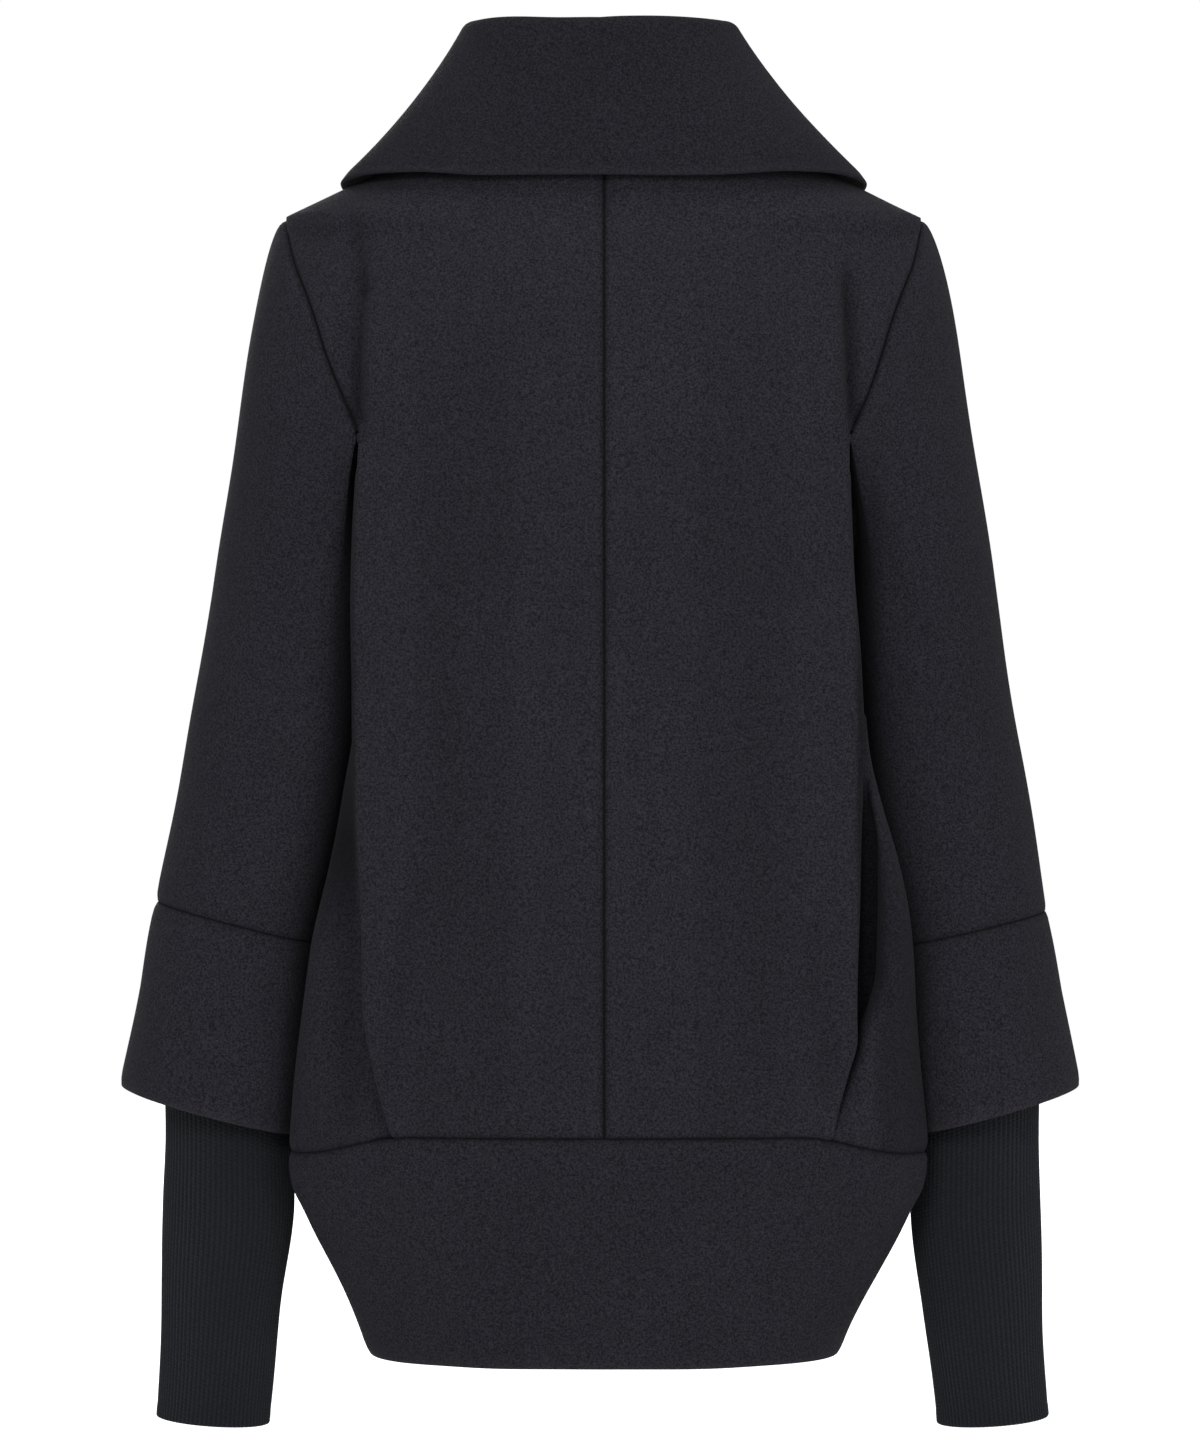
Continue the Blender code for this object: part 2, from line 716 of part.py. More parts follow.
def surface(name, grid, closed):
    """Open quad sheet through the rows of a grid, in metres."""
    rows = len(grid)
    columns = len(grid[0])
    points = [(p[0] * 0.001, p[1] * 0.001, p[2] * 0.001) for row in grid for p in row]
    faces = []
    for r in range(rows - 1):
        for c in range(columns if closed else columns - 1):
            after = (c + 1) % columns
            faces.append((r * columns + c, r * columns + after,
                          (r + 1) * columns + after, (r + 1) * columns + c))
    mesh = bpy.data.meshes.new(name)
    mesh.from_pydata(points, [], faces)
    mesh.validate()
    mesh.update()
    return bpy.data.objects.new(name, mesh)


def thicken(body, wall, offset):
    shell = body.modifiers.new("cloth wall", "SOLIDIFY")
    shell.thickness = wall * 0.001
    shell.offset = offset
    shell.use_even_offset = True
    shell.use_quality_normals = True
    shell.use_rim = True


def ribbed(body, columns, rows):
    """Wall the tube plainly, then raise every other column of its outer points."""
    thicken(body, KNIT, -1.0)
    graph = bpy.context.evaluated_depsgraph_get()
    walled = bpy.data.meshes.new_from_object(body.evaluated_get(graph))
    body.modifiers.clear()
    body.data = walled
    for row in range(rows + 1):
        ring = [walled.vertices[row * columns + c].co.copy() for c in range(columns)]
        middle = sum(ring, ring[0] * 0.0) / columns
        for c in range(0, columns, 2):
            away = ring[c] - middle
            away.z = 0.0
            walled.vertices[row * columns + c].co = ring[c] + away.normalized() * RIB_RISE * 0.001


def main():
    for old in list(bpy.data.objects):
        bpy.data.objects.remove(old, do_unlink=True)
    coat = bpy.data.collections.new("wool_coat")
    bpy.context.scene.collection.children.link(coat)
    black = (0.020, 0.019, 0.023)
    dark = (0.014, 0.014, 0.017)

    def add(name, grid, wall, closed, offset=0.0):
        body = surface(name, grid, closed)
        coat.objects.link(body)
        body.data.materials.append(material(name + "_wool", black, 0.9))
        thicken(body, wall, offset)

    for side, label in ((1.0, "left"), (-1.0, "right")):
        add("back_" + label, back_grid(side, 1), WOOL, False)
        add("front_" + label, front_grid(side, 1), WOOL, False)
        add("sleeve_" + label, sleeve_grid(side, 1), WOOL, True)
        add("cuff_" + label, cuff_grid(side, 1), WOOL, True)
        tube = surface("rib_" + label, rib_grid(side, 2 * RIBS, 3), True)
        coat.objects.link(tube)
        tube.data.materials.append(material("rib_" + label + "_knit", dark, 0.95))
        ribbed(tube, 2 * RIBS, 3)
    add("hem_band", band_grid(1), DOUBLE, False)
    add("collar", collar_grid(1), DOUBLE, False)


main()
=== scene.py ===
"""Black wool cocoon coat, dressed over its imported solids.

Shapes are worked out in millimetres on grids of points. X runs to the wearer's left, Y to the
back, Z up. A drop is a height measured downwards from the back neck, so z = -drop. Side +1 is the
wearer's left. The meshes are in metres.
"""
import math
from functools import lru_cache

import bpy
import numpy as np
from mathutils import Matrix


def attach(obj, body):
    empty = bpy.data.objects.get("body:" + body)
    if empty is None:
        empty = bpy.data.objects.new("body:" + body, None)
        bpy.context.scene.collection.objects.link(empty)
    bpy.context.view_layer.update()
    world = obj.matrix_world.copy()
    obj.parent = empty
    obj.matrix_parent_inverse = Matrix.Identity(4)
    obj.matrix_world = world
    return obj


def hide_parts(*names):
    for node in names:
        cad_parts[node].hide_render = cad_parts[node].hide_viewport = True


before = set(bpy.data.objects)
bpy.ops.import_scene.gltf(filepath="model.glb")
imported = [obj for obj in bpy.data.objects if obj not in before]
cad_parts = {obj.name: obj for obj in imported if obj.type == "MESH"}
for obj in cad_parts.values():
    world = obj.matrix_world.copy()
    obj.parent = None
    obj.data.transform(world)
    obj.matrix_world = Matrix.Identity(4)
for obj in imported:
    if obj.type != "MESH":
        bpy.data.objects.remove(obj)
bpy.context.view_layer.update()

MM = 0.001

WOOL = 2.4  # wall of the coating wool
DOUBLE = 3.6  # collar and hem band: two layers sewn together
KNIT = 1.6  # plain wall of the rib tubes
BAND_LAP = 0.5  # panels run this far past the band seam line

NECK_HALF = 72.0  # neck point to the centre
NECK_BACK = 58.0  # neck depth behind the shoulder ridge
NECK_FRONT = 82.0  # neck depth before the shoulder ridge
NECK_FALL = 85.0  # drop of the front neck
TIP_X = 202.0  # shoulder tip
TIP_DROP = 64.0
FOLD_DROP = 206.0  # where the back fold leaves the armhole
ARM_DROP = 235.0  # underarm
BAND_DROP = 643.0  # hem band seam at the centre back
HEM_DROP = 788.0
SIDE_SAG = 13.0  # how far the band seam dips at the side seams
SAG_DROP = 430.0  # the dip starts at this drop,
SAG_X = 120.0  # this far from the centre,
SAG_REACH = 75.0  # and is full this much further out
LAP = 40.0  # front overlap past the centre
LAP_RISE = 3.6  # the right front lies this far over the left one
NECK_RISE = 2.4  # and this much further at the rounder neck
NECK_BLEND = 160.0  # the neck's share fades over this length
LAP_SLOPES = (12.0, 48.0)  # width of the slope beside the lap: at the neck, below
BAND_RISE = 1.6  # the band's right end lies this much further over the left one
PACK = 16.0  # strip beside the armhole that holds the pleat's columns
PART_LEAST = 4.5  # least length of a part of the fold, so that its columns stay apart
SHOULDER_TRIM = 0.1  # the front stops this far before the shoulder ridge
TRIM = 0.05  # a panel stops this far from its side seam line

SHOULDER_ROWS = 5
ARM_DROPS = (64, 80, 98, 119, 141, 163, 185, 206, 216, 226, 235)
BODY_DROPS = (262, 300, 345, 395, 445, 490, 528, 562, 595, 622, 643)
BACK_SPANS = (7, 3, 2, 3, 7)  # columns: panel, fold, tuck, return, side
FRONT_COLUMNS = 12
NECK_COLUMNS = 5
CAP_ROWS = 7
SLEEVE_ROWS = 6
CUFF_ROWS = 4
CUFF_COLUMNS = 20
BAND_ROWS = 5
BAND_COLUMNS = (13, 15)  # half of the band: behind, in front
COLLAR_COLUMNS = 36
COLLAR_ROWS = (3, 5, 7)  # stand, fold, fall
RING_POINTS = 100  # points of a ring that is spaced evenly


def smooth(value):
    """Soft step from 0 to 1."""
    value = min(max(value, 0.0), 1.0)
    return value * value * (3.0 - 2.0 * value)


def mix(a, b, share):
    return a + (b - a) * share


def unit(way):
    return way / np.linalg.norm(way)


class Table:
    """Short table read by column name, with a shape-keeping cubic between its rows."""

    def __init__(self, text):
        columns, *rows = [line.split() for line in text.strip().split("\n")]
        self.data = {}
        for index, column in enumerate(columns):
            self.data[column] = [float(row[index]) for row in rows]
        self.key = self.data[columns[0]]
        self.slope = {column: self.slopes(self.data[column]) for column in columns[1:]}

    def slopes(self, y):
        x = self.key
        gap = [b - a for a, b in zip(x[:-1], x[1:])]
        rate = [(b - a) / g for a, b, g in zip(y[:-1], y[1:], gap)]
        found = [rate[0]]
        for i in range(1, len(x) - 1):
            slope = 0.0
            if rate[i - 1] * rate[i] > 0.0:
                near = 2.0 * gap[i] + gap[i - 1]
                far = gap[i] + 2.0 * gap[i - 1]
                slope = (near + far) / (near / rate[i - 1] + far / rate[i])
            found.append(slope)
        return found + [rate[-1]]

    def at(self, column, place):
        x = self.key
        y = self.data[column]
        slope = self.slope[column]
        place = min(max(place, x[0]), x[-1])
        i = 0
        while i < len(x) - 2 and place >= x[i + 1]:
            i += 1
        gap = x[i + 1] - x[i]
        t = (place - x[i]) / gap
        return hermite(y[i], slope[i] * gap, y[i + 1], slope[i + 1] * gap, t)

    def point(self, place, *columns):
        return np.array([self.at(column, place) for column in columns])


# Centre lines of the body, back and front, and the roundness of the back half ring.
CENTRE = Table("""
drop back front power round
0 58 70 2.2 2.00
30 74 76 2.2 2.00
64 88 86 2.3 2.00
80 95 90 2.2 1.20
94 100 94 2.2 1.00
132 110 102 2.3 1.00
193 119 110 2.5 1.00
235 122 113 2.6 1.00
300 125 117 2.6 1.00
400 128 121 2.6 1.00
500 127 122 2.6 1.00
560 124 120 2.6 1.00
643 115 113 2.6 1.00
""")

# Outer edge of the flat back: down the armhole, then down the long fold to the pleat's foot.
EDGE = Table("""
drop left right y
64 202.0 202.0 0
78 200.0 200.0 25
94 196.0 196.0 43
113 188.5 188.5 57
132 181.5 181.2 68
152 175.2 174.8 77
166 170.0 170.2 81.5
188 161.2 162.0 88
206 154.0 153.8 91.5
213 151.4 149.4 93
235 151.4 148.7 97
260 151.8 149.8 100
300 152.2 151.9 104
345 152.7 155.6 106.5
400 153.2 158.4 108
430 152.5 157.6 108.5
465 150.0 155.8 109
500 147.6 154.4 109
540 146.6 153.0 108.5
562 146.4 152.8 108
577 144.6 153.3 107
600 140.4 147.9 106
622 135.6 143.3 104
643 130.4 140.4 102
""")

# The fold: how far the cloth turns at the edge, its radius, the tuck, and the way it leaves.
PLEAT = Table("""
drop turn radius tuck leave
206 54 1.7 5 -88
212 62 2.4 8 -88
220 66 3.0 9 -88
235 60 3.6 8 -88
300 60 3.6 3 -88
400 76 3.6 3 -86
470 96 3.6 6 -76
520 118 3.4 12 -62
560 138 3.2 17 -46
600 158 2.6 21 -28
643 176 1.4 23 -9
""")

# The right fold stands open above its foot: it goes deep, turns wide, and the side panel has a
# crest beyond it.
OPEN_PLEAT = Table("""
drop turn radius tuck swing leave crest_x crest_y
206 54 1.7 5 4.0 -88 152 72
212 62 2.4 8 4.0 -88 152 72
220 66 3.0 9 4.0 -88 152 73
235 60 3.6 8 4.0 -88 153 74
300 60 3.6 3 4.0 -88 154 78
380 70 3.6 8 5.0 -84 158 80
430 74 3.6 20 6.0 -20 168 86
475 76 3.6 32 8.5 96 177 94
505 76 3.6 35 9.4 106 180.5 97
535 77 3.6 35 9.4 107 179.5 98
556 82 3.6 33 8.0 104 174.5 99
572 90 3.4 31 6.8 98 168.5 99
592 100 3.0 27 6.4 88 164.5 97.5
615 114 2.2 25 5.4 72 158.5 96.5
632 142 1.7 24 3.2 30 153.5 96.5
643 176 1.4 23 1.4 -9 148.5 97
""")

GAPE_DROP = 380.0  # the right fold starts to open here
GAPE_REACH = 60.0
CREST_WAY = (0.93, -0.37)  # way of the cloth over the crest
CREST_PLACE = 0.4  # where the crest grows from the closed fold's side panel
LEAST_TURN = math.radians(2.0)

# Side panel between the fold and the side seam: its fullness and the seam itself.
SIDE = Table("""
drop left right full_y seam
193 151 152 46 150
235 151 152 50 149
300 150 152 54 147
350 151 154 58 148
435 164 169 62 159
480 172 184 65 166
525 182 193 67 174
580 189 197 65 179
643 193 199 58 187
""")

# Front armhole, from the shoulder tip to the underarm.
FRONT_ARM = Table("""
drop x y
64 202 0
94 194 -27
132 178 -50
172 160 -62
200 151 -57
221 148 -35
235 149 0
""")

# Rings of the sleeve and cuff: outer and inner points, depth behind and before, how the right arm
# differs (r_), and how square and how far out the inner back edge is.
ARM = Table("""
station out_x out_z in_x in_z back front mid_y r_out r_in r_low square lean r_square r_lean
0 250.5 -310 154 -318 69 63 0 0.0 1.0 0 0.60 18 0.72 2
0.5 259.0 -356 155.8 -371 67 62 -1 -1.0 1.9 0 0.62 16 0.74 1
1 267.5 -402 162.5 -424 65 60 -2 -2.0 2.5 0 0.66 13 0.76 1
2 285.2 -500 183 -526 61 58 -4 -2.9 -1.6 -6 0.82 6 0.84 2
3 308.5 -618 196.5 -648 66 64 -4 -5.0 -3.0 0 0.88 0 0.88 0
""")

CUFF_SEAM = 2.0  # stations of the cuff's ends
CUFF_HEM = 3.0
CUFF_SWELL = 0.6  # the cuff rounds out this far below its seam
CUFF_STEP = 0.3  # and stands this far over the sleeve

# How a sleeve leaves the armhole, by its place round the loop (0 tip, 1 underarm).
CAP = Table("""
place dx dy dz reach gap
0.0 0.87 0.00 -0.49 66 0.1
0.2 0.86 -0.22 -0.47 70 0.1
0.5 0.80 -0.24 -0.55 70 0.1
0.7 0.30 -0.42 -0.86 60 0.3
0.8 0.70 0.00 -0.70 42 0.6
0.9 0.94 0.06 -0.34 36 0.5
1.0 0.94 0.00 -0.34 34 0.2
""")

# Rib tube from the cuff seam to its end: centre, half width, half depth, tilt, right arm's shift.
RIB = Table("""
drop x half depth tilt right
509 233.6 46.6 54.6 16.0 -3.0
540 237.3 43.0 48.0 12.0 -2.8
600 240.2 40.4 43.0 5.0 -2.5
650 240.4 40.2 42.0 3.0 -2.5
690 240.4 41.0 41.5 2.0 -3.0
760 245.0 37.4 39.0 2.0 -2.6
831 250.6 34.6 36.0 2.5 -1.6
""")

RIB_Y = -4.0  # the wrist lies this far before the middle

# Hem band: how far its ring has gone from the panels' ring to the hem ring.
BAND = Table("""
drop taper
643 0.0
663 0.04
681 0.17
702 0.32
745 0.66
788 1.0
""")
HEM_HALF = 148.5  # half width of the hem
HEM_DEEP = 99.0  # half depth of the hem
HEM_POWER = 2.45  # squareness of the hem
FRONT_POWER = 2.5  # and of the front
PLEAT_EASE = 9.0  # the band leaves the pleat's edge this far before it

# Collar, half round from the centre back: fold top, lower edge, and the slopes of its fall.
COLLAR = Table("""
turn top edge_x edge_y edge_z lean steep flare
0 55 0 92 -44.0 3.0 6 12
25 57 68 86 -43.4 3.4 11 18
48 58 118 70 -39.6 3.8 18 29
66 59 150 48 -38.8 4.0 24 38
80 60 166 22 -40.6 4.0 29 48
92 60 169 -4 -41.5 4.0 30 50
112 56 163 -48 -50.0 4.0 30 42
136 42 124 -92 -84.0 5.0 26 30
160 10 62 -116 -126.0 4.0 18 16
180 -22 2.0 -123 -148.0 3.0 12 8
""")
COLLAR_FOLD = 6.2  # radius of the collar's rolled fold
COLLAR_SWAY = 2.5  # the fold leans this far to the wearer's left
COLLAR_SEAT = 0.1  # the stand sits this far over the neck edge
COLLAR_END = 2.3  # half of the gap between the collar's ends
SWAY_FOOT = -44.0  # the lean starts at this height
SWAY_REACH = 100.0


def settle(point):
    """Dip of the band seam towards the side seams."""
    x, y, z = point
    drop = -z
    down = smooth((drop - SAG_DROP) / (BAND_DROP - SAG_DROP))
    if drop > BAND_DROP:
        down = smooth((HEM_DROP - drop) / (HEM_DROP - BAND_DROP))
    return (x, y, z - SIDE_SAG * down * smooth((abs(x) - SAG_X) / SAG_REACH))


def lengths(path):
    steps = np.hypot(np.diff(path[:, 0]), np.diff(path[:, 1]))
    return np.concatenate(([0.0], np.cumsum(steps)))


def along(path, run, distance):
    x = np.interp(distance, run, path[:, 0])
    y = np.interp(distance, run, path[:, 1])
    return float(x), float(y)


def arc(pen, heading, turn, radius, steps):
    """Walk round a bend; positive turns go left."""
    walked = []
    x, y = pen
    for _ in range(steps):
        heading += turn / steps * 0.5
        stride = 2.0 * radius * math.sin(abs(turn) / steps * 0.5)
        x += stride * math.cos(heading)
        y += stride * math.sin(heading)
        heading += turn / steps * 0.5
        walked.append((x, y))
    return walked, heading


def hermite(start, start_way, end, end_way, t):
    a = (1.0 + 2.0 * t) * (1.0 - t) ** 2
    b = t * (1.0 - t) ** 2
    c = t * t * (3.0 - 2.0 * t)
    d = t * t * (t - 1.0)
    return a * start + b * start_way + c * end + d * end_way


def back_edge(side, drop):
    if drop <= TIP_DROP:
        return mix(NECK_HALF, TIP_X, drop / TIP_DROP), 0.0
    return EDGE.at("left" if side > 0 else "right", drop), EDGE.at("y", drop)


@lru_cache(maxsize=None)
def back_path(side, drop):
    """Half ring of the back, centre seam to side seam, and the lengths where its parts end."""
    edge_x, edge_y = back_edge(side, drop)
    middle, power, roundness = CENTRE.point(drop, "back", "power", "round")
    crowd = 0.3 + 0.68 * min(1.0, (roundness - 1.0) / 0.2)
    share = np.linspace(0.0, 1.0, 81)
    share = np.sin(crowd * share * math.pi / 2.0) / math.sin(crowd * math.pi / 2.0)
    share = np.clip(share, 0.0, 1.0)
    height = (1.0 - share ** power) ** (1.0 / roundness)
    path = [(edge_x * s, edge_y + (middle - edge_y) * h) for s, h in zip(share, height)]
    marks = [len(path) - 1]
    if drop > FOLD_DROP:
        pleat = PLEAT if side > 0 else OPEN_PLEAT
        heading = math.atan2(path[-1][1] - path[-2][1], path[-1][0] - path[-2][0])
        turn, radius, tuck, leave = pleat.point(drop, "turn", "radius", "tuck", "leave")
        bend, heading = arc(path[-1], heading, -math.radians(turn), radius, 16)
        path += bend
        marks.append(len(path) - 1)
        for step in np.linspace(0.0, 1.0, 9)[1:]:
            path.append((bend[-1][0] + tuck * step * math.cos(heading),
                         bend[-1][1] + tuck * step * math.sin(heading)))
        marks.append(len(path) - 1)
        back_turn = max(math.radians(leave) - heading, LEAST_TURN)
        swing = radius if side > 0 else pleat.at("swing", drop)
        bend, heading = arc(path[-1], heading, back_turn, swing, 16)
        path += bend
        marks.append(len(path) - 1)
        start = np.array(path[-1])
        full = SIDE.point(drop, "left" if side > 0 else "right", "full_y")
        seam = np.array((SIDE.at("seam", drop), 0.0))
        begin = np.array((math.cos(heading), math.sin(heading)))
        side_way = unit(seam - start)
        stations = [(start, begin)]
        gape = smooth((drop - GAPE_DROP) / GAPE_REACH) if side < 0 else 0.0
        if gape > 0.0:
            crest = pleat.point(drop, "crest_x", "crest_y")
            reach = np.linalg.norm(full - start)
            plain = hermite(start, begin * reach, full, side_way * reach, CREST_PLACE)
            stations.append((mix(plain, crest, gape), np.array(CREST_WAY)))
        stations += [(full, side_way), (seam, unit(seam - full))]
        for (a, a_way), (b, b_way) in zip(stations[:-1], stations[1:]):
            reach = np.linalg.norm(b - a)
            for step in np.linspace(0.0, 1.0, 25)[1:]:
                path.append(tuple(hermite(a, a_way * reach, b, b_way * reach, step)))
        marks.append(len(path) - 1)
    path = np.array(path)
    run = lengths(path)
    stops = [run[m] for m in marks]
    while len(stops) < 5:
        stops.append(stops[-1])
    for part in (1, 2, 3):
        stops[part] = min(max(stops[part], stops[part - 1] + PART_LEAST), stops[4])
    return path, run, stops


def span_columns(spans, fine):
    """Column places: whole numbers mark the ends of the parts of a ring."""
    places = [0.0]
    for index, count in enumerate(spans):
        for step in range(1, count * fine + 1):
            places.append(index + step / (count * fine))
    return places


def ring_end(stops, drop):
    """Where the back's ring ends: at the side seam, or beside the armhole on the way to it."""
    if FOLD_DROP < drop < ARM_DROP:
        return mix(stops[0], stops[4], (drop - FOLD_DROP) / (ARM_DROP - FOLD_DROP))
    return stops[4]


def back_row(side, drop, places):
    path, run, stops = back_path(side, drop)
    end = ring_end(stops, drop) - TRIM
    ends = [0.0]
    for index in range(5):
        ends.append(min(stops[index], end - PACK * (4 - index) / 4.0))
    row = []
    for place in places:
        part = min(int(place), 4)
        x, y = along(path, run, mix(ends[part], ends[part + 1], place - part))
        row.append(settle((side * x, y, -drop)))
    return row


def back_grid(side, fine):
    drops = [TIP_DROP * i / SHOULDER_ROWS for i in range(SHOULDER_ROWS)]
    drops += list(ARM_DROPS) + list(BODY_DROPS)
    drops[-1] += BAND_LAP
    places = span_columns(BACK_SPANS, fine)
    return [back_row(side, drop, places) for drop in refine(drops, fine)]


def refine(values, fine):
    finer = []
    for a, b in zip(values[:-1], values[1:]):
        finer += [mix(a, b, i / fine) for i in range(fine)]
    return finer + [values[-1]]


def oval(half, deep, power, start, end, count):
    """Part of a squared oval between two turns; turn 0 is on the centre line."""
    points = []
    for turn in np.linspace(start, end, count):
        across = math.copysign(abs(math.sin(turn)) ** (2.0 / power), turn)
        points.append((half * across, deep * max(math.cos(turn), 0.0) ** (2.0 / power)))
    return np.array(points)


@lru_cache(maxsize=None)
def front_ring(drop):
    """Front half ring from the lap edge to the side seam."""
    seam = SIDE.at("seam", drop)
    lap_turn = -math.asin((LAP / seam) ** (FRONT_POWER / 2.0))
    path = oval(seam, -CENTRE.at("front", drop), FRONT_POWER, lap_turn, math.pi / 2.0, 121)
    return path, lengths(path)


def neck_front(turn):
    """Front neck edge; turn 0 at the centre, 90 degrees at the neck point."""
    low = max(math.cos(turn), 0.0)
    return np.array((NECK_HALF * math.sin(turn), -NECK_FRONT * low, -NECK_FALL * low ** 1.4))


def front_top(u):
    """Neck edge, then the shoulder seam."""
    turn = NECK_COLUMNS / FRONT_COLUMNS
    if u < turn:
        start = -math.asin(LAP / NECK_HALF)
        return neck_front(mix(start, math.pi / 2.0, u / turn))
    share = (u - turn) / (1.0 - turn)
    return np.array((mix(NECK_HALF, TIP_X, share), 0.0, -TIP_DROP * share))


def front_way(u):
    """Way the cloth leaves the neck or shoulder, the same on both sides of the centre."""
    start = -math.asin(LAP / NECK_HALF)
    turn = mix(start, math.pi / 2.0, min(u * FRONT_COLUMNS / NECK_COLUMNS, 1.0))
    share = smooth(abs(turn) / (math.pi / 2.0))
    way = np.array((0.0, mix(-0.30, -0.80, share), mix(-0.95, -0.60, share)))
    return unit(way)


def front_upper(u, drop):
    """Front from the neck and shoulder to the underarm level."""
    path, run = front_ring(ARM_DROP)
    t = (drop - TIP_DROP) / (ARM_DROP - TIP_DROP)

    def column(place):
        x, y = along(path, run, run[-1] * place)
        low = np.array((x, y, -ARM_DROP))
        top = front_top(place)
        reach = np.linalg.norm(low - top)
        return hermite(top, front_way(place) * reach, low, np.array((0.0, 0.0, -reach)), t)

    arm = np.array((FRONT_ARM.at("x", drop), FRONT_ARM.at("y", drop), -drop))
    return column(u) + (arm - column(1.0)) * u ** 5


def front_point(side, u, drop):
    if drop <= ARM_DROP:
        x, y, z = front_upper(u, drop)
    else:
        path, run = front_ring(drop)
        x, y = along(path, run, run[-1] * u)
        z = -drop
    if side < 0:
        low = smooth((drop - TIP_DROP) / NECK_BLEND)
        fade = mix(*LAP_SLOPES, low)
        rise = LAP_RISE + NECK_RISE * (1.0 - low)
        y -= rise * smooth((LAP + 3.0 + fade - x) / fade)
    return x, y, z


def front_grid(side, fine):
    drops = list(ARM_DROPS) + list(BODY_DROPS)
    drops[-1] += BAND_LAP
    grid = []
    for drop in refine(drops, fine):
        row = []
        for step in range(FRONT_COLUMNS * fine + 1):
            row.append(np.array(front_point(side, step / (FRONT_COLUMNS * fine), drop)))
        row[-1] = row[-1] - unit(row[-1] - row[-2]) * TRIM
        grid.append([settle((side * p[0], p[1], p[2])) for p in row])
    for place in range(NECK_COLUMNS * fine, FRONT_COLUMNS * fine + 1):
        down = np.array(grid[1][place]) - np.array(grid[0][place])
        down *= SHOULDER_TRIM / np.linalg.norm(down)
        grid[0][place] = tuple(np.array(grid[0][place]) + down)
    return grid


def armhole(side, fine):
    """Loop of the armhole: shoulder tip, back, underarm, front."""
    drops = refine(list(ARM_DROPS), fine)
    loop = []
    for index, drop in enumerate(drops):
        path, run, stops = back_path(side, drop)
        x, y = along(path, run, ring_end(stops, drop))
        loop.append(((x, y, -drop), index / (len(drops) - 1), 1.0))
    for index in range(len(drops) - 2, 0, -1):
        drop = drops[index]
        point = (FRONT_ARM.at("x", drop), FRONT_ARM.at("y", drop), -drop)
        loop.append((point, index / (len(drops) - 1), -1.0))
    return loop


def arm_ring(side, station, turn):
    """Point of a sleeve ring; turn 0 outside, quarter behind, half inside."""
    outer = ARM.point(station, "out_x", "mid_y", "out_z")
    inner = ARM.point(station, "in_x", "mid_y", "in_z")
    if side < 0:
        outer[0] += ARM.at("r_out", station)
        inner[0] += ARM.at("r_in", station)
        outer[2] += ARM.at("r_low", station)
        inner[2] += ARM.at("r_low", station) / 2.0
    centre = (outer + inner) / 2.0
    deep = ARM.at("back" if math.sin(turn) >= 0.0 else "front", station)
    across, behind = math.cos(turn), math.sin(turn)
    if across < 0.0 < behind:
        hand = "" if side > 0 else "r_"
        square = ARM.at(hand + "square", station)
        across, behind = -((-across) ** square), behind ** square
        deep -= ARM.at(hand + "lean", station) * across
    point = centre + (outer - inner) / 2.0 * across
    point[1] += deep * behind
    return point


def sleeve_grid(side, fine):
    loop = armhole(side, fine)
    grid = []
    cap_rows = CAP_ROWS * fine
    for row_index in range(cap_rows + 1):
        t = row_index / cap_rows
        row = []
        for index, (point, place, facing) in enumerate(loop):
            turn = 2.0 * math.pi * index / len(loop)
            way = unit(CAP.point(place, "dx", "dy", "dz") * (1.0, facing, 1.0))
            start = np.array(point) + way * CAP.at("gap", place)
            low = arm_ring(side, 0.0, turn)
            on = unit(arm_ring(side, 0.05, turn) - low)
            reach = np.linalg.norm(low - start)
            start_way = way * CAP.at("reach", place)
            row.append(hermite(start, start_way, low, on * reach * 0.95, t))
        grid.append(row)
    lower = SLEEVE_ROWS * fine
    for row_index in range(1, lower + 1):
        station = CUFF_SEAM * row_index / lower
        row = [arm_ring(side, station, 2.0 * math.pi * i / len(loop)) for i in range(len(loop))]
        grid.append(row)
    return [[(side * p[0], p[1], p[2]) for p in row] for row in grid]


def cuff_grid(side, fine):
    columns = CUFF_COLUMNS * fine
    rows = CUFF_ROWS * fine
    middle = (arm_ring(side, CUFF_SEAM, 0.0) + arm_ring(side, CUFF_SEAM, math.pi)) / 2.0
    grid = []
    for row_index in range(rows + 1):
        share = row_index / rows
        swell = CUFF_SWELL * math.sin(math.pi * min(share * 2.2, 1.0))
        swell += CUFF_STEP * smooth(share * 5.0)
        row = []
        for index in range(columns):
            turn = 2.0 * math.pi * index / columns
            point = mix(arm_ring(side, CUFF_SEAM, turn), arm_ring(side, CUFF_HEM, turn), share)
            away = point - middle
            away[2] = 0.0
            point = point + unit(away) * swell
            row.append((side * point[0], point[1], point[2]))
        grid.append(row)
    return grid


def rib_grid(side, columns, rows):
    turn = -side * 2.0 * math.pi * np.arange(columns) / columns
    grid = []
    for drop in np.linspace(RIB.key[0], RIB.key[-1], rows + 1):
        x, half, depth, tilt, right = RIB.point(drop, "x", "half", "depth", "tilt", "right")
        x = x + (right if side < 0 else 0.0) + half * np.cos(turn)
        y = RIB_Y + depth * np.sin(turn)
        grid.append(np.stack((side * x, y, tilt * np.cos(turn) - drop), axis=-1))
    return np.array(grid)


def even(path):
    """Same path with evenly spaced points."""
    run = lengths(path)
    places = [run[-1] * i / RING_POINTS for i in range(RING_POINTS + 1)]
    return np.array([along(path, run, place) for place in places])


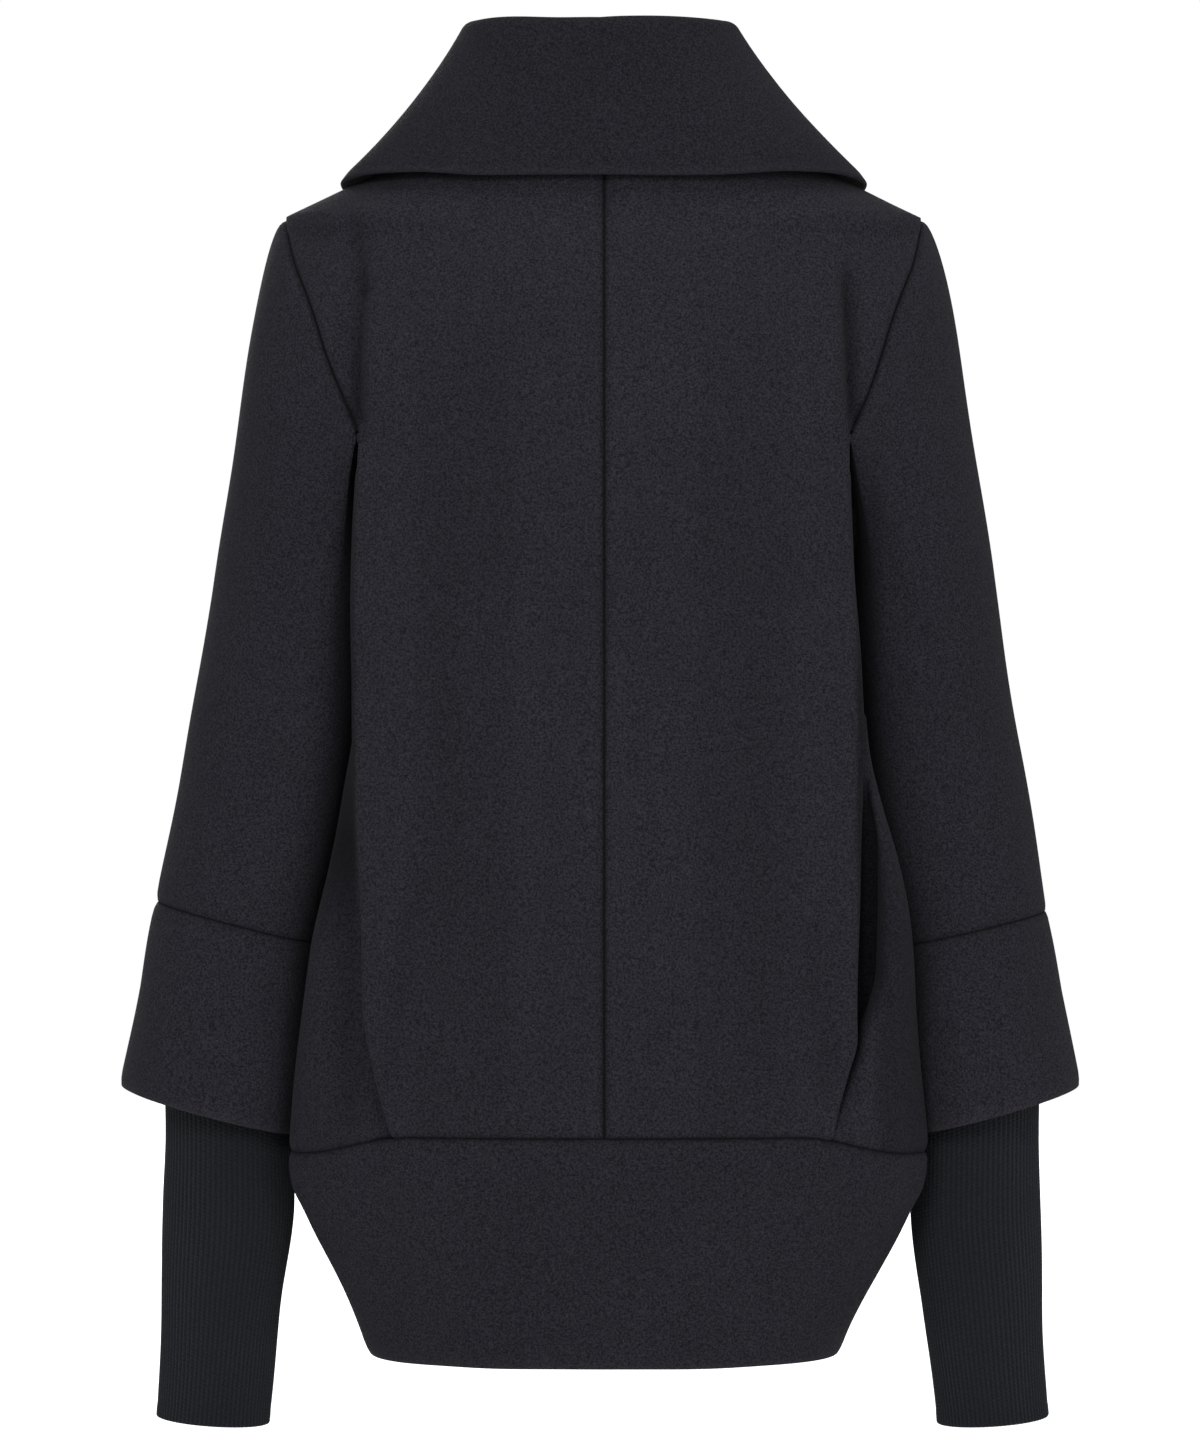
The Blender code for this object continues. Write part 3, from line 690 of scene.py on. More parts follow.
@lru_cache(maxsize=None)
def band_top(side):
    """Ring of the panels at the band seam, running on under the pleat: centre back to lap edge."""
    path, run, stops = back_path(side, BAND_DROP)
    leave = stops[0] - PLEAT_EASE
    rejoin = stops[3]
    while along(path, run, rejoin)[0] < along(path, run, stops[0])[0] + PLEAT_EASE * 2.0:
        rejoin += 0.5
    start = np.array(along(path, run, leave))
    finish = np.array(along(path, run, rejoin))
    reach = np.linalg.norm(finish - start)
    start_way = (np.array(along(path, run, leave + 0.5)) - start) / 0.5 * reach
    finish_way = (np.array(along(path, run, rejoin + 0.5)) - finish) / 0.5 * reach
    ring = [along(path, run, leave * i / 40.0) for i in range(41)]
    for step in np.linspace(0.0, 1.0, 21)[1:]:
        ring.append(tuple(hermite(start, start_way, finish, finish_way, step)))
    for step in np.linspace(0.0, 1.0, 41)[1:]:
        ring.append(along(path, run, mix(rejoin, stops[4], step)))
    front, _ = front_ring(BAND_DROP)
    return even(np.array(ring)), even(front[::-1])


def band_hem():
    """Hem ring, centre back to side, then side to lap edge."""
    lap_turn = math.asin((LAP / HEM_HALF) ** (HEM_POWER / 2.0))
    back = oval(HEM_HALF, HEM_DEEP, HEM_POWER, 0.0, math.pi / 2.0, 101)
    front = oval(HEM_HALF, -HEM_DEEP, HEM_POWER, math.pi / 2.0, -lap_turn, 121)
    return even(back), even(front)


def band_grid(fine):
    """One strip from the left lap edge round the back to the right lap edge."""
    rows = BAND_ROWS * fine
    hem_back, hem_front = band_hem()
    run = np.linspace(0.0, 1.0, RING_POINTS + 1)
    back_count, front_count = [count * fine for count in BAND_COLUMNS]
    grid = []
    for row_index in range(rows + 1):
        drop = mix(BAND_DROP, HEM_DROP, row_index / rows)
        taper = BAND.at("taper", drop)
        halves = []
        for side in (1.0, -1.0):
            top_back, top_front = band_top(side)
            back = mix(top_back, hem_back, taper)
            front = mix(top_front, hem_front, taper)
            half = [along(back, run, i / back_count) for i in range(back_count)]
            half += [along(front, run, i / front_count) for i in range(front_count + 1)]
            line = []
            for x, y in half:
                if side < 0.0 and y < 0.0:
                    y -= (LAP_RISE + BAND_RISE) * smooth((LAP + 50.0 - x) / LAP_SLOPES[1])
                line.append(settle((side * x, y, -drop)))
            halves.append(line)
        grid.append(halves[0][::-1] + halves[1][1:])
    return grid


def neck_seat(turn):
    """Neck edge under the collar; turn in degrees from the centre back."""
    angle = math.radians(turn)
    if turn <= 90.0:
        share = math.sin(angle)
        deep = NECK_BACK * math.sqrt(max(1.0 - share ** 2.2, 0.0))
        return np.array((NECK_HALF * share, deep, 0.0))
    return neck_front(math.pi - angle)


def collar_profile(turn, fine):
    """Stand, rolled fold and fall in the upright plane from the neck seam to the edge."""
    lift = COLLAR_SEAT * (1.0 + 1.4 * smooth((turn - 90.0) / 40.0))
    seat = neck_seat(turn) + np.array((0.0, 0.0, lift))
    edge = COLLAR.point(turn, "edge_x", "edge_y", "edge_z")
    way = np.array((edge[0] - seat[0], edge[1] - seat[1], 0.0))
    reach = np.linalg.norm(way)
    way /= reach
    top, lean, steep, flare = COLLAR.point(turn, "top", "lean", "steep", "flare")
    top -= COLLAR_FOLD
    steep, flare = math.radians(steep), math.radians(flare)
    stand_rows, fold_rows, fall_rows = [count * fine for count in COLLAR_ROWS]
    flat = []
    for share in np.linspace(0.0, 1.0, stand_rows + 1):
        flat.append((lean * smooth(share), mix(seat[2], top, share)))
    bend = math.pi - steep
    for step in range(1, fold_rows + 1):
        angle = math.pi - bend * step / fold_rows
        across = lean + COLLAR_FOLD + COLLAR_FOLD * math.cos(angle)
        flat.append((across, top + COLLAR_FOLD * math.sin(angle)))
    start = np.array(flat[-1])
    finish = np.array((reach, edge[2]))
    length = np.linalg.norm(finish - start)
    start_way = np.array((math.sin(steep), -math.cos(steep))) * length
    end_way = np.array((math.sin(flare), -math.cos(flare))) * length
    for share in np.linspace(0.0, 1.0, fall_rows + 1)[1:]:
        flat.append(tuple(hermite(start, start_way, finish, end_way, share)))
    return [(seat[0] + way[0] * r, seat[1] + way[1] * r, z) for r, z in flat]


def collar_grid(fine):
    columns = COLLAR_COLUMNS * fine
    grid = []
    for index in range(columns + 1):
        turn = -180.0 + 360.0 * index / columns
        side = 1.0 if turn >= 0.0 else -1.0
        line = []
        for x, y, z in collar_profile(abs(turn), fine):
            if abs(turn) > 179.9:
                x = COLLAR_END
            line.append((side * x + COLLAR_SWAY * smooth((z - SWAY_FOOT) / SWAY_REACH), y, z))
        grid.append(line)
    return grid


# From here on: the dressed cloth. Grids are arrays of shape (rows, columns, 3).
FINE = 6  # cells of the cloth along each cell of the solids
BACK_FINE = 8  # the same on the back, with its folds
RIM_SHARES = (0.04, 0.14, 0.32, 0.6)  # extra lines in the last cell, where an edge rounds off
SEWN = {"seam": 1.0, "pressed": 0.55}  # how deep each kind of seam is drawn in
SEAM_ROUND = 1.1  # rounding of an edge that is sewn to a neighbour
SEAM_ROLL = 1.6  # sewn edges roll inwards this deep
SEAM_REACH = 3.0  # over this length
HEM_ROLL = 1.3  # free edges curl under this deep
HEM_REACH = 4.5
SEAM_HOLD = 0.25  # share of the creases that is left at a sewn edge
SEAM_CALM = 9.0  # they are held down over this length
SEAM_MARK = 1.9  # reach of a seam's shade
HEM_MARK = 4.0  # reach of the paler band along a free edge
SHOWN_RIBS = 76
RIB_POINTS = 6  # columns of points for each rib
RIB_HEIGHT = 0.85
RIB_ROWS = 72
RIB_HEM = 6.5  # turned end of the rib tube
RIB_THICK = 0.35  # the turned end stands out this far
RIB_DENT = 0.55  # its stitched line is this deep
RIB_STITCH = 1.5  # over this length
RIB_LIP = 1.1  # rounding of the end
RIB_LIP_STEPS = 4
RIB_INSIDE = 9  # the plain inside has one row for this many outside
RIB_PITCH = 3.4  # width of a rib on the cloth's map
STITCH_ROW = 2.4

CREASE_START = 0.3  # a crease fades in over this share of its length
CREASE_END = 0.16  # and out over this one
FACE_FADE = 0.3  # and where the cloth turns to the other face


def rows_of(text):
    """Rows of numbers of a short text table."""
    return [[float(word) for word in line.split()] for line in text.strip().split("\n")]


# Creases by piece: face, x0, drop0, x1, drop1, bow, width, height. Each is a line from (x0, drop0)
# to (x1, drop1) with its bow to the side, half width and height. A negative height is a trough.
# Face 1 is the side to the back, -1 the side to the front.
CREASES = {
    "back_left": rows_of("""
1 158 60 151 124 0 6.0 -2.8
1 150.2 88 155.5 214 -1 5.0 -4.4
1 161 120 158 214 0 9.0 -2.2
1 57 70 55 640 1 9.0 0.8
1 97 120 88 590 5 24.0 -2.4
1 108 390 74 630 -4 13.0 -1.4
1 137 260 138 560 2 9.0 0.9
1 132 640 117 470 3 8.0 -1.6
1 26 260 31 600 -3 14.0 -0.8
1 171 540 158 642 3 9.0 -1.5
"""),
    "back_right": rows_of("""
1 -152.3 84 -156.3 216 0 5.2 -7.0
1 -143 96 -147 216 0 6.0 1.2
1 -54 70 -57 640 1 8.0 0.9
1 -94 160 -82 600 -6 22.0 -2.6
1 -118 330 -96 610 5 12.0 -1.3
1 -142 250 -143 520 -2 8.0 1.0
1 -140 640 -121 500 -4 9.0 -1.7
1 -24 330 -30 610 3 13.0 -0.7
1 -178 520 -166 642 -3 10.0 -1.4
"""),
    "front_left": rows_of("""
-1 150 205 96 330 9 9.0 -4.2
-1 152 240 118 420 7 8.5 -3.6
-1 88 180 104 600 6 17.0 -3.4
-1 128 420 134 640 4 11.0 -3.2
-1 52 260 58 610 -4 15.0 -1.3
-1 20 170 28 420 3 10.0 -1.2
"""),
    "front_right": rows_of("""
-1 -148 200 -104 340 -8 8.5 -4.4
-1 -151 250 -124 400 -6 8.0 -3.2
-1 -92 170 -100 620 -6 18.0 -3.3
-1 -134 400 -130 640 4 10.5 -3.0
-1 -48 230 -62 600 4 16.0 -1.4
-1 18 190 22 560 3 11.0 -1.0
"""),
    "sleeve_left": rows_of("""
1 166 216 205 345 5 11.0 -2.2
1 250 290 214 372 8 15.0 -1.6
1 262 388 205 430 6 13.0 -1.5
1 232 250 250 480 4 20.0 -1.1
-1 168 250 226 330 7 11.0 -3.4
-1 176 312 248 362 6 11.0 -3.6
-1 184 372 256 396 5 10.0 -3.2
-1 196 432 254 440 4 12.0 -2.2
"""),
    "sleeve_right": rows_of("""
1 -165 220 -198 350 -5 10.0 -2.4
1 -246 282 -212 360 -7 14.0 -1.4
1 -258 396 -208 442 -6 13.0 -1.7
1 -228 246 -246 470 -4 19.0 -1.2
-1 -166 246 -222 322 -7 11.0 -3.2
-1 -174 306 -244 368 -6 12.0 -3.8
-1 -186 380 -252 402 -5 10.0 -3.0
-1 -198 440 -250 452 -4 12.0 -2.0
"""),
    "cuff_left": rows_of("""
1 232 505 226 630 2 17.0 -1.3
1 272 500 284 610 2 14.0 -1.0
-1 222 510 214 640 2 16.0 -1.6
-1 262 500 274 620 2 15.0 -1.5
"""),
    "cuff_right": rows_of("""
1 -236 505 -232 632 2 16.0 -1.2
1 -268 500 -282 610 2 13.0 -1.1
-1 -220 510 -212 640 2 17.0 -1.5
-1 -260 500 -276 622 2 14.0 -1.6
"""),
    "hem_band": rows_of("""
1 84 648 70 770 3 17.0 -1.1
1 -96 650 -86 760 -3 15.0 -1.2
1 10 660 2 784 2 20.0 0.7
1 150 655 128 770 3 11.0 -1.2
1 -154 655 -126 770 -3 12.0 -1.1
-1 90 650 82 770 3 16.0 -1.4
-1 -100 650 -84 770 -3 15.0 -1.4
-1 30 655 34 780 3 14.0 -1.0
-1 -44 655 -40 780 3 14.0 -1.0
"""),
    "collar": rows_of("""
1 58 -42 84 36 3 15.0 -1.4
1 -66 -40 -94 34 -3 14.0 -1.3
1 -8 -50 -4 40 2 24.0 0.8
-1 96 -20 70 96 5 14.0 -2.4
-1 -92 -16 -64 100 -5 14.0 -2.6
-1 46 30 30 136 4 13.0 -2.0
-1 -50 36 -28 138 -4 12.0 -1.9
"""),
}

NARROW = 9.5  # creases no wider than this get painted shade in their trough
TROUGH_SHADE = 0.085  # painted shade per millimetre of their depth
DARK_FADE = 90.0  # the dark bands fade over this length at their ends

# Dark bands: start of the piece's name, from x to x, from drop to drop, soft edge, darkening.
# The first six are darker bands down the back; the rest are painted shade.
DARK_BANDS = (
    ("back_left", 50, 124, 120, 720, 14, 0.11),
    ("back_left", 78, 118, 200, 560, 20, 0.07),
    ("back_left", 20, 44, 300, 700, 12, 0.04),
    ("back_right", -122, -52, 90, 720, 13, 0.09),
    ("back_right", -112, -76, 260, 640, 18, 0.05),
    ("back_right", -40, -16, 330, 700, 12, 0.03),
    # Painted shade: side panels beside the folds, fold edges, sleeves next to the body.
    ("back_left", 150, 240, 400, 760, 8, 0.10),
    ("back_right", -240, -166, 400, 760, 8, 0.30),
    ("back_left", 152.0, 180, 170, 540, 4, 0.75),
    ("back_right", -164.5, -154.5, 220, 600, 3.5, 0.62),
    ("sleeve_left", 148, 174, 190, 540, 12, 0.34),
    ("sleeve_right", -178, -150, 190, 540, 12, 0.46),
    # Painted shade evenly over whole pieces; on the collar it offsets the top lamp.
    ("collar", -300, 300, -160, 300, 5, 0.27),
    ("hem_band", -300, 300, 500, 990, 5, 0.09),
    ("sleeve", -400, 400, -100, 900, 5, 0.07),
    ("cuff", -400, 400, 300, 900, 5, 0.05),
)

# Slow unevenness of hung cloth: direction and length of each wave, its height and its phase.
WAVES = (
    # x, y, z, length, height, phase
    (0.90, 0.20, 0.40, 118, 0.42, 0.3),
    (-0.70, 0.30, 0.65, 86, 0.30, 1.9),
    (0.95, -0.25, -0.15, 61, 0.22, 4.1),
    (0.30, 0.50, 0.80, 142, 0.34, 2.6),
    (-0.45, 0.80, 0.40, 73, 0.20, 5.2),
)


def soft_step(value):
    value = np.clip(value, 0.0, 1.0)
    return value * value * (3.0 - 2.0 * value)


def insert_lines(grid, axis):
    """Extra lines in the first and last cell along an axis."""
    grid = np.moveaxis(grid, axis, 0)
    first = [grid[0] + (grid[1] - grid[0]) * share for share in RIM_SHARES]
    last = [grid[-1] + (grid[-2] - grid[-1]) * share for share in RIM_SHARES[::-1]]
    lines = [grid[:1], np.array(first), grid[1:-1], np.array(last), grid[-1:]]
    return np.moveaxis(np.concatenate(lines), 0, axis)


def run_along(grid, axis):
    """Length along the grid lines from the start of an axis."""
    steps = np.linalg.norm(np.diff(grid, axis=axis), axis=2)
    start = np.zeros_like(np.take(steps, [0], axis=axis))
    return np.concatenate((start, np.cumsum(steps, axis=axis)), axis=axis)


def grid_normals(grid, closed, out):
    """Unit normals of a grid; out is +1 or -1 and turns them to the cloth's right side."""
    down = np.gradient(grid, axis=0)
    if closed:
        across = np.roll(grid, -1, axis=1) - np.roll(grid, 1, axis=1)
    else:
        across = np.gradient(grid, axis=1)
    normal = np.cross(down, across)
    size = np.linalg.norm(normal, axis=2, keepdims=True)
    return out * normal / np.maximum(size, 1e-9)


def crease_heights(name, grid, normal, widest=math.inf):
    """Sum of a piece's creases up to a width, at every point of the grid."""
    height = np.zeros(grid.shape[:2])
    x = grid[..., 0]
    drop = -grid[..., 2]
    for face, x0, drop0, x1, drop1, bow, width, tall in CREASES[name]:
        if width > widest:
            continue
        length = math.hypot(x1 - x0, drop1 - drop0)
        way = ((x1 - x0) / length, (drop1 - drop0) / length)
        run = ((x - x0) * way[0] + (drop - drop0) * way[1]) / length
        aside = (drop - drop0) * way[0] - (x - x0) * way[1]
        aside = aside - bow * np.sin(np.pi * np.clip(run, 0.0, 1.0))
        spread = width * (0.8 + 0.4 * np.clip(run, 0.0, 1.0))
        ends = soft_step(run / CREASE_START) * soft_step((1.0 - run) / CREASE_END)
        shown = soft_step(normal[..., 1] * face / FACE_FADE)
        height += tall * np.exp(-(aside / spread) ** 2) * ends * shown
    return height


def wave_heights(grid):
    """The cloth's slow waves, at every point of the grid."""
    height = np.zeros(grid.shape[:2])
    for wx, wy, wz, length, tall, phase in WAVES:
        place = grid @ np.array((wx, wy, wz)) / math.sqrt(wx * wx + wy * wy + wz * wz)
        height += tall * np.sin(2.0 * math.pi * place / length + phase)
    return height


def shades_and_bands(name, grid, normal):
    """Darkening at every point: painted shade in narrow troughs, plus the dark bands."""
    shade = TROUGH_SHADE * np.maximum(-crease_heights(name, grid, normal, NARROW), 0.0)
    x = grid[..., 0]
    drop = -grid[..., 2]
    for piece, left, right, top, foot, soft, dark in DARK_BANDS:
        if name.startswith(piece):
            band = soft_step((x - left) / soft) * soft_step((right - x) / soft)
            shade += (dark * band * soft_step((drop - top) / DARK_FADE)
                      * soft_step((foot - drop) / DARK_FADE))
    return shade


class Cloth:
    """A sheet of points with its normals and the distances to its edges."""

    def __init__(self, grid, closed, edges, out):
        grid = np.array(grid, float)
        grid = insert_lines(grid, 0)
        if not closed:
            grid = insert_lines(grid, 1)
        self.closed = closed
        self.edges = dict(zip(("top", "bottom", "start", "end"), edges))
        self.out = out
        self.grid = grid
        self.normal = grid_normals(grid, closed, out)
        self.down = run_along(grid, 0)
        self.across = run_along(grid, 1)
        self.gaps = {"top": self.down, "bottom": self.down[-1:] - self.down}
        if not closed:
            self.gaps["start"] = self.across
            self.gaps["end"] = self.across[:, -1:] - self.across

    def dress(self, name):
        """Press the creases in and roll the sewn edges, holding the edges themselves in place."""
        # Painted shade and the darker bands down the back, for the material.
        self.shade_and_bands = shades_and_bands(name, self.grid, self.normal)
        height = crease_heights(name, self.grid, self.normal) + wave_heights(self.grid)
        for edge, kind in self.edges.items():
            gap = self.gaps[edge]
            if kind in SEWN:
                height = height * mix(SEAM_HOLD, 1.0, soft_step(gap / SEAM_CALM))
                height = height - SEWN[kind] * SEAM_ROLL * np.exp(-(gap / SEAM_REACH) ** 2)
            else:
                height = height - HEM_ROLL * np.exp(-(gap / HEM_REACH) ** 2)
        self.grid = self.grid + self.normal * height[..., None]
        self.normal = grid_normals(self.grid, self.closed, self.out)

    def half_walls(self, wall):
        """Half the wall at each point, rounded off to nothing at the edges."""
        half = np.full(self.grid.shape[:2], wall * 0.5)
        for edge, kind in self.edges.items():
            radius = SEAM_ROUND if kind in SEWN else wall * 0.5
            share = np.clip(self.gaps[edge] / radius, 0.0, 1.0)
            half = half * np.sqrt(np.maximum(1.0 - (1.0 - share) ** 2, 0.0))
        return half

    def nearness(self, kind, reach):
        """1 at the edges of a kind, falling to 0 over a length."""
        near = np.zeros(self.grid.shape[:2])
        for edge, found in self.edges.items():
            if found == kind:
                near = np.maximum(near, np.exp(-(self.gaps[edge] / reach) ** 2))
        return near


def grid_faces(index, closed, flip):
    """Quads between the lines of an index grid."""
    right = np.roll(index, -1, axis=1) if closed else index[:, 1:]
    left = index if closed else index[:, :-1]
    quads = np.stack((left[:-1], right[:-1], right[1:], left[1:]), axis=-1).reshape(-1, 4)
    return quads[:, ::-1] if flip else quads


def build(name, points, faces, corners, marks):
    """Smooth mesh object in metres, with a map in metres and named marks on its points."""
    mesh = bpy.data.meshes.new(name)
    mesh.from_pydata((points * MM).tolist(), [], faces.tolist())
    layer = mesh.uv_layers.new(name="cloth")
    layer.data.foreach_set("uv", (corners[faces.reshape(-1)] * MM).astype(np.float32).reshape(-1))
    for mark, values in marks.items():
        attribute = mesh.attributes.new(mark, "FLOAT", "POINT")
        attribute.data.foreach_set("value", values.astype(np.float32))
    mesh.polygons.foreach_set("use_smooth", [True] * len(mesh.polygons))
    mesh.validate()
    mesh.update()
    piece = bpy.data.objects.new(name, mesh)
    bpy.context.scene.collection.objects.link(piece)
    return piece


def sheet_piece(name, cloth, wall):
    """Closed shell on a sheet: right side, wrong side and rounded edges."""
    half = cloth.half_walls(wall)[..., None]
    outer = cloth.grid + cloth.normal * half
    inner = cloth.grid - cloth.normal * half
    rows, columns = cloth.grid.shape[:2]
    upper = np.arange(rows * columns).reshape(rows, columns)
    rim = np.zeros((rows, columns), bool)
    rim[[0, -1], :] = True
    if not cloth.closed:
        rim[:, [0, -1]] = True
    lower = upper.copy()
    lower[~rim] = rows * columns + np.arange(np.count_nonzero(~rim))
    points = np.concatenate((outer.reshape(-1, 3), inner[~rim]))
    chart = np.stack((cloth.across, -cloth.down), axis=-1)
    corners = np.concatenate((chart.reshape(-1, 2), chart[~rim]))
    seam = np.maximum(cloth.nearness("seam", SEAM_MARK),
                      SEWN["pressed"] * cloth.nearness("pressed", SEAM_MARK))
    hem = cloth.nearness("hem", HEM_MARK)
    marks = {mark: np.concatenate((values.reshape(-1), values[~rim]))
             for mark, values in (("seam", seam), ("hem", hem), ("shade_and_bands", cloth.shade_and_bands))}
    flip = cloth.out > 0.0
    faces = np.concatenate((grid_faces(upper, cloth.closed, flip),
                            grid_faces(lower, cloth.closed, not flip)))
    return build(name, points, faces, corners, marks)


def rib_piece(name, side):
    """Rib tube: raised ribs outside, plain inside, and a turned end."""
    columns = SHOWN_RIBS * RIB_POINTS
    tube = rib_grid(side, columns, RIB_ROWS)
    middle = tube.mean(axis=1, keepdims=True)
    away = tube - middle
    away[..., 2] = 0.0
    away /= np.linalg.norm(away, axis=2, keepdims=True)
    down = run_along(tube, 0)
    left = down[-1:] - down
    turn = np.arange(columns) / RIB_POINTS
    crown = (0.5 + 0.5 * np.cos(2.0 * math.pi * turn)) ** 0.8
    rise = RIB_HEIGHT * crown[None, :] * np.ones((RIB_ROWS + 1, 1))
    rise = rise - RIB_DENT * np.exp(-((left - RIB_HEM) / RIB_STITCH) ** 2)
    rise = rise + RIB_THICK * soft_step((RIB_HEM - left) / 2.0)
    # Slow unevenness of the worn tube.
    place = tube @ np.array((0.3, 0.5, 0.8))
    rise = rise + 0.5 * np.sin(place / 16.0 + side)
    rise = rise + 0.4 * np.sin(tube[..., 2] / 41.0 + 2.0 * turn / 19.0)
    outer = tube + away * rise[..., None]
    inner = tube - away * KNIT
    loops = [outer]
    for step in range(1, RIB_LIP_STEPS):
        angle = math.pi * step / RIB_LIP_STEPS
        mid = mix(outer[-1], inner[-1], 0.5)
        spread = (outer[-1] - inner[-1]) * 0.5 * math.cos(angle)
        loops.append((mid + spread + np.array((0.0, 0.0, -RIB_LIP * math.sin(angle))))[None])
    loops.append(inner[::-RIB_INSIDE])
    grid = np.concatenate(loops)
    rows = len(grid)
    index = np.arange(rows * columns).reshape(rows, columns)
    index = np.concatenate((index, index[:1]))
    run = run_along(grid, 0)
    chart = np.stack((np.broadcast_to(turn * RIB_PITCH, (rows, columns)), -run), axis=-1)
    # Where painted shade goes: the grooves between the ribs and the stitched line at the turned
    # end.
    groove = np.broadcast_to(1.0 - crown, (rows, columns)).reshape(-1)
    fold = np.exp(-((run - down[-1:] + RIB_HEM) / RIB_STITCH) ** 2)
    faces = grid_faces(index, True, side > 0.0)
    return build(name, grid.reshape(-1, 3), faces, chart.reshape(-1, 2),
                 {"groove": groove, "fold": fold.reshape(-1)})


# Wool colours; the first is the painted shade of troughs and folds and the darker bands.
SHADED_WOOL = (0.0014, 0.0013, 0.0018, 1.0)
DARK_WOOL = (0.0042, 0.0040, 0.0053, 1.0)
PALE_WOOL = (0.0206, 0.0196, 0.0251, 1.0)
FLECK = (0.034, 0.033, 0.040, 1.0)
SEAM_SHADE = (0.0016, 0.0016, 0.0020, 1.0)
DARK_KNIT = (0.0046, 0.0049, 0.0064, 1.0)
PALE_KNIT = (0.0138, 0.0145, 0.0174, 1.0)
# Painted shade of the rib's grooves and stitched line.
SHADED_KNIT = (0.0030, 0.0032, 0.0042, 1.0)
WHITE = (1.0, 1.0, 1.0, 1.0)
WOOL_BUMP = 0.0005  # metres
KNIT_BUMP = 0.0004


class Shading:
    """Adds nodes to one material and links them."""

    def __init__(self, name):
        self.material = bpy.data.materials.new(name)
        self.material.use_nodes = True
        self.tree = self.material.node_tree
        self.shader = self.tree.nodes["Principled BSDF"]

    def set(self, **values):
        for socket, value in values.items():
            self.shader.inputs[socket.replace("_", " ")].default_value = value

    def add(self, kind, inputs=(), **settings):
        node = self.tree.nodes.new("ShaderNode" + kind)
        for key, value in settings.items():
            setattr(node, key, value)
        for socket, value in dict(inputs).items():
            if isinstance(value, bpy.types.NodeSocket):
                self.tree.links.new(value, node.inputs[socket])
            else:
                node.inputs[socket].default_value = value
        return node

    def math(self, operation, a, b=0.0):
        return self.add("Math", {0: a, 1: b}, operation=operation).outputs[0]

    def times(self, a, b):
        return self.math("MULTIPLY", a, b)

    def noise(self, place, scale, detail, roughness=0.5):
        node = self.add("TexNoise", {"Vector": place, "Scale": scale, "Detail": detail,
                                     "Roughness": roughness})
        return node.outputs[0]

    def mark(self, name):
        return self.add("Attribute", attribute_name=name).outputs["Fac"]

    def blend(self, share, a, b):
        return self.add("Mix", {0: share, 6: a, 7: b}, data_type="RGBA").outputs[2]

    def span(self, value, low, high, start=0.0, end=1.0):
        node = self.add("MapRange", {"Value": value, "From Min": low, "From Max": high,
                                     "To Min": start, "To Max": end})
        return node.outputs[0]

    def finish(self, colour, height, depth):
        bump = self.add("Bump", {"Height": height, "Strength": 1.0, "Distance": depth})
        self.tree.links.new(bump.outputs[0], self.shader.inputs["Normal"])
        self.tree.links.new(colour, self.shader.inputs["Base Color"])
        return self.material


def wool_material(name, shift):
    """Felted coating wool: close grain, pale flecks, a faint twill, painted shade and darker bands.
    """
    cloth = Shading(name)
    cloth.set(Roughness=0.96, Specular_IOR_Level=0.03, Sheen_Weight=0.016, Sheen_Roughness=0.6,
              Sheen_Tint=(0.80, 0.80, 0.88, 1.0))
    here = cloth.add("TexCoord").outputs["Object"]
    place = cloth.add("VectorMath", {0: here, 1: (shift, -shift, 0.3 * shift)},
                      operation="ADD").outputs[0]
    chart = cloth.add("UVMap", uv_map="cloth").outputs[0]
    grain = cloth.noise(place, 780.0, 2.0, 0.6)
    fibre = cloth.noise(place, 2600.0, 1.0)
    fleck = cloth.noise(place, 560.0, 3.0, 0.7)
    cloud = cloth.noise(place, 9.0, 3.0, 0.55)
    twill = cloth.add("TexWave", {"Vector": chart, "Scale": 255.0, "Distortion": 2.2, "Detail": 1.0,
                                  "Detail Scale": 3.0}, bands_direction="DIAGONAL").outputs[1]
    tone = cloth.math("ADD", cloth.span(grain, 0.36, 0.64, 0.0, 0.78),
                      cloth.span(fibre, 0.3, 0.7, 0.0, 0.22))
    colour = cloth.blend(tone, DARK_WOOL, PALE_WOOL)
    colour = cloth.blend(cloth.span(fleck, 0.62, 0.74, 0.0, 0.8), colour, FLECK)
    colour = cloth.blend(cloth.span(cloud, 0.30, 0.70, 0.0, 0.16), colour, DARK_WOOL)
    # Painted shade in troughs, folds and recesses, and the darker bands down the back.
    colour = cloth.blend(cloth.mark("shade_and_bands"), colour, SHADED_WOOL)
    colour = cloth.blend(cloth.times(cloth.mark("seam"), 0.9), colour, SEAM_SHADE)
    colour = cloth.blend(cloth.times(cloth.mark("hem"), 0.14), colour, FLECK)
    height = cloth.math("ADD", cloth.times(grain, 0.8), cloth.times(fibre, 0.45))
    height = cloth.math("ADD", height, cloth.times(twill, 0.10))
    return cloth.finish(colour, height, WOOL_BUMP)


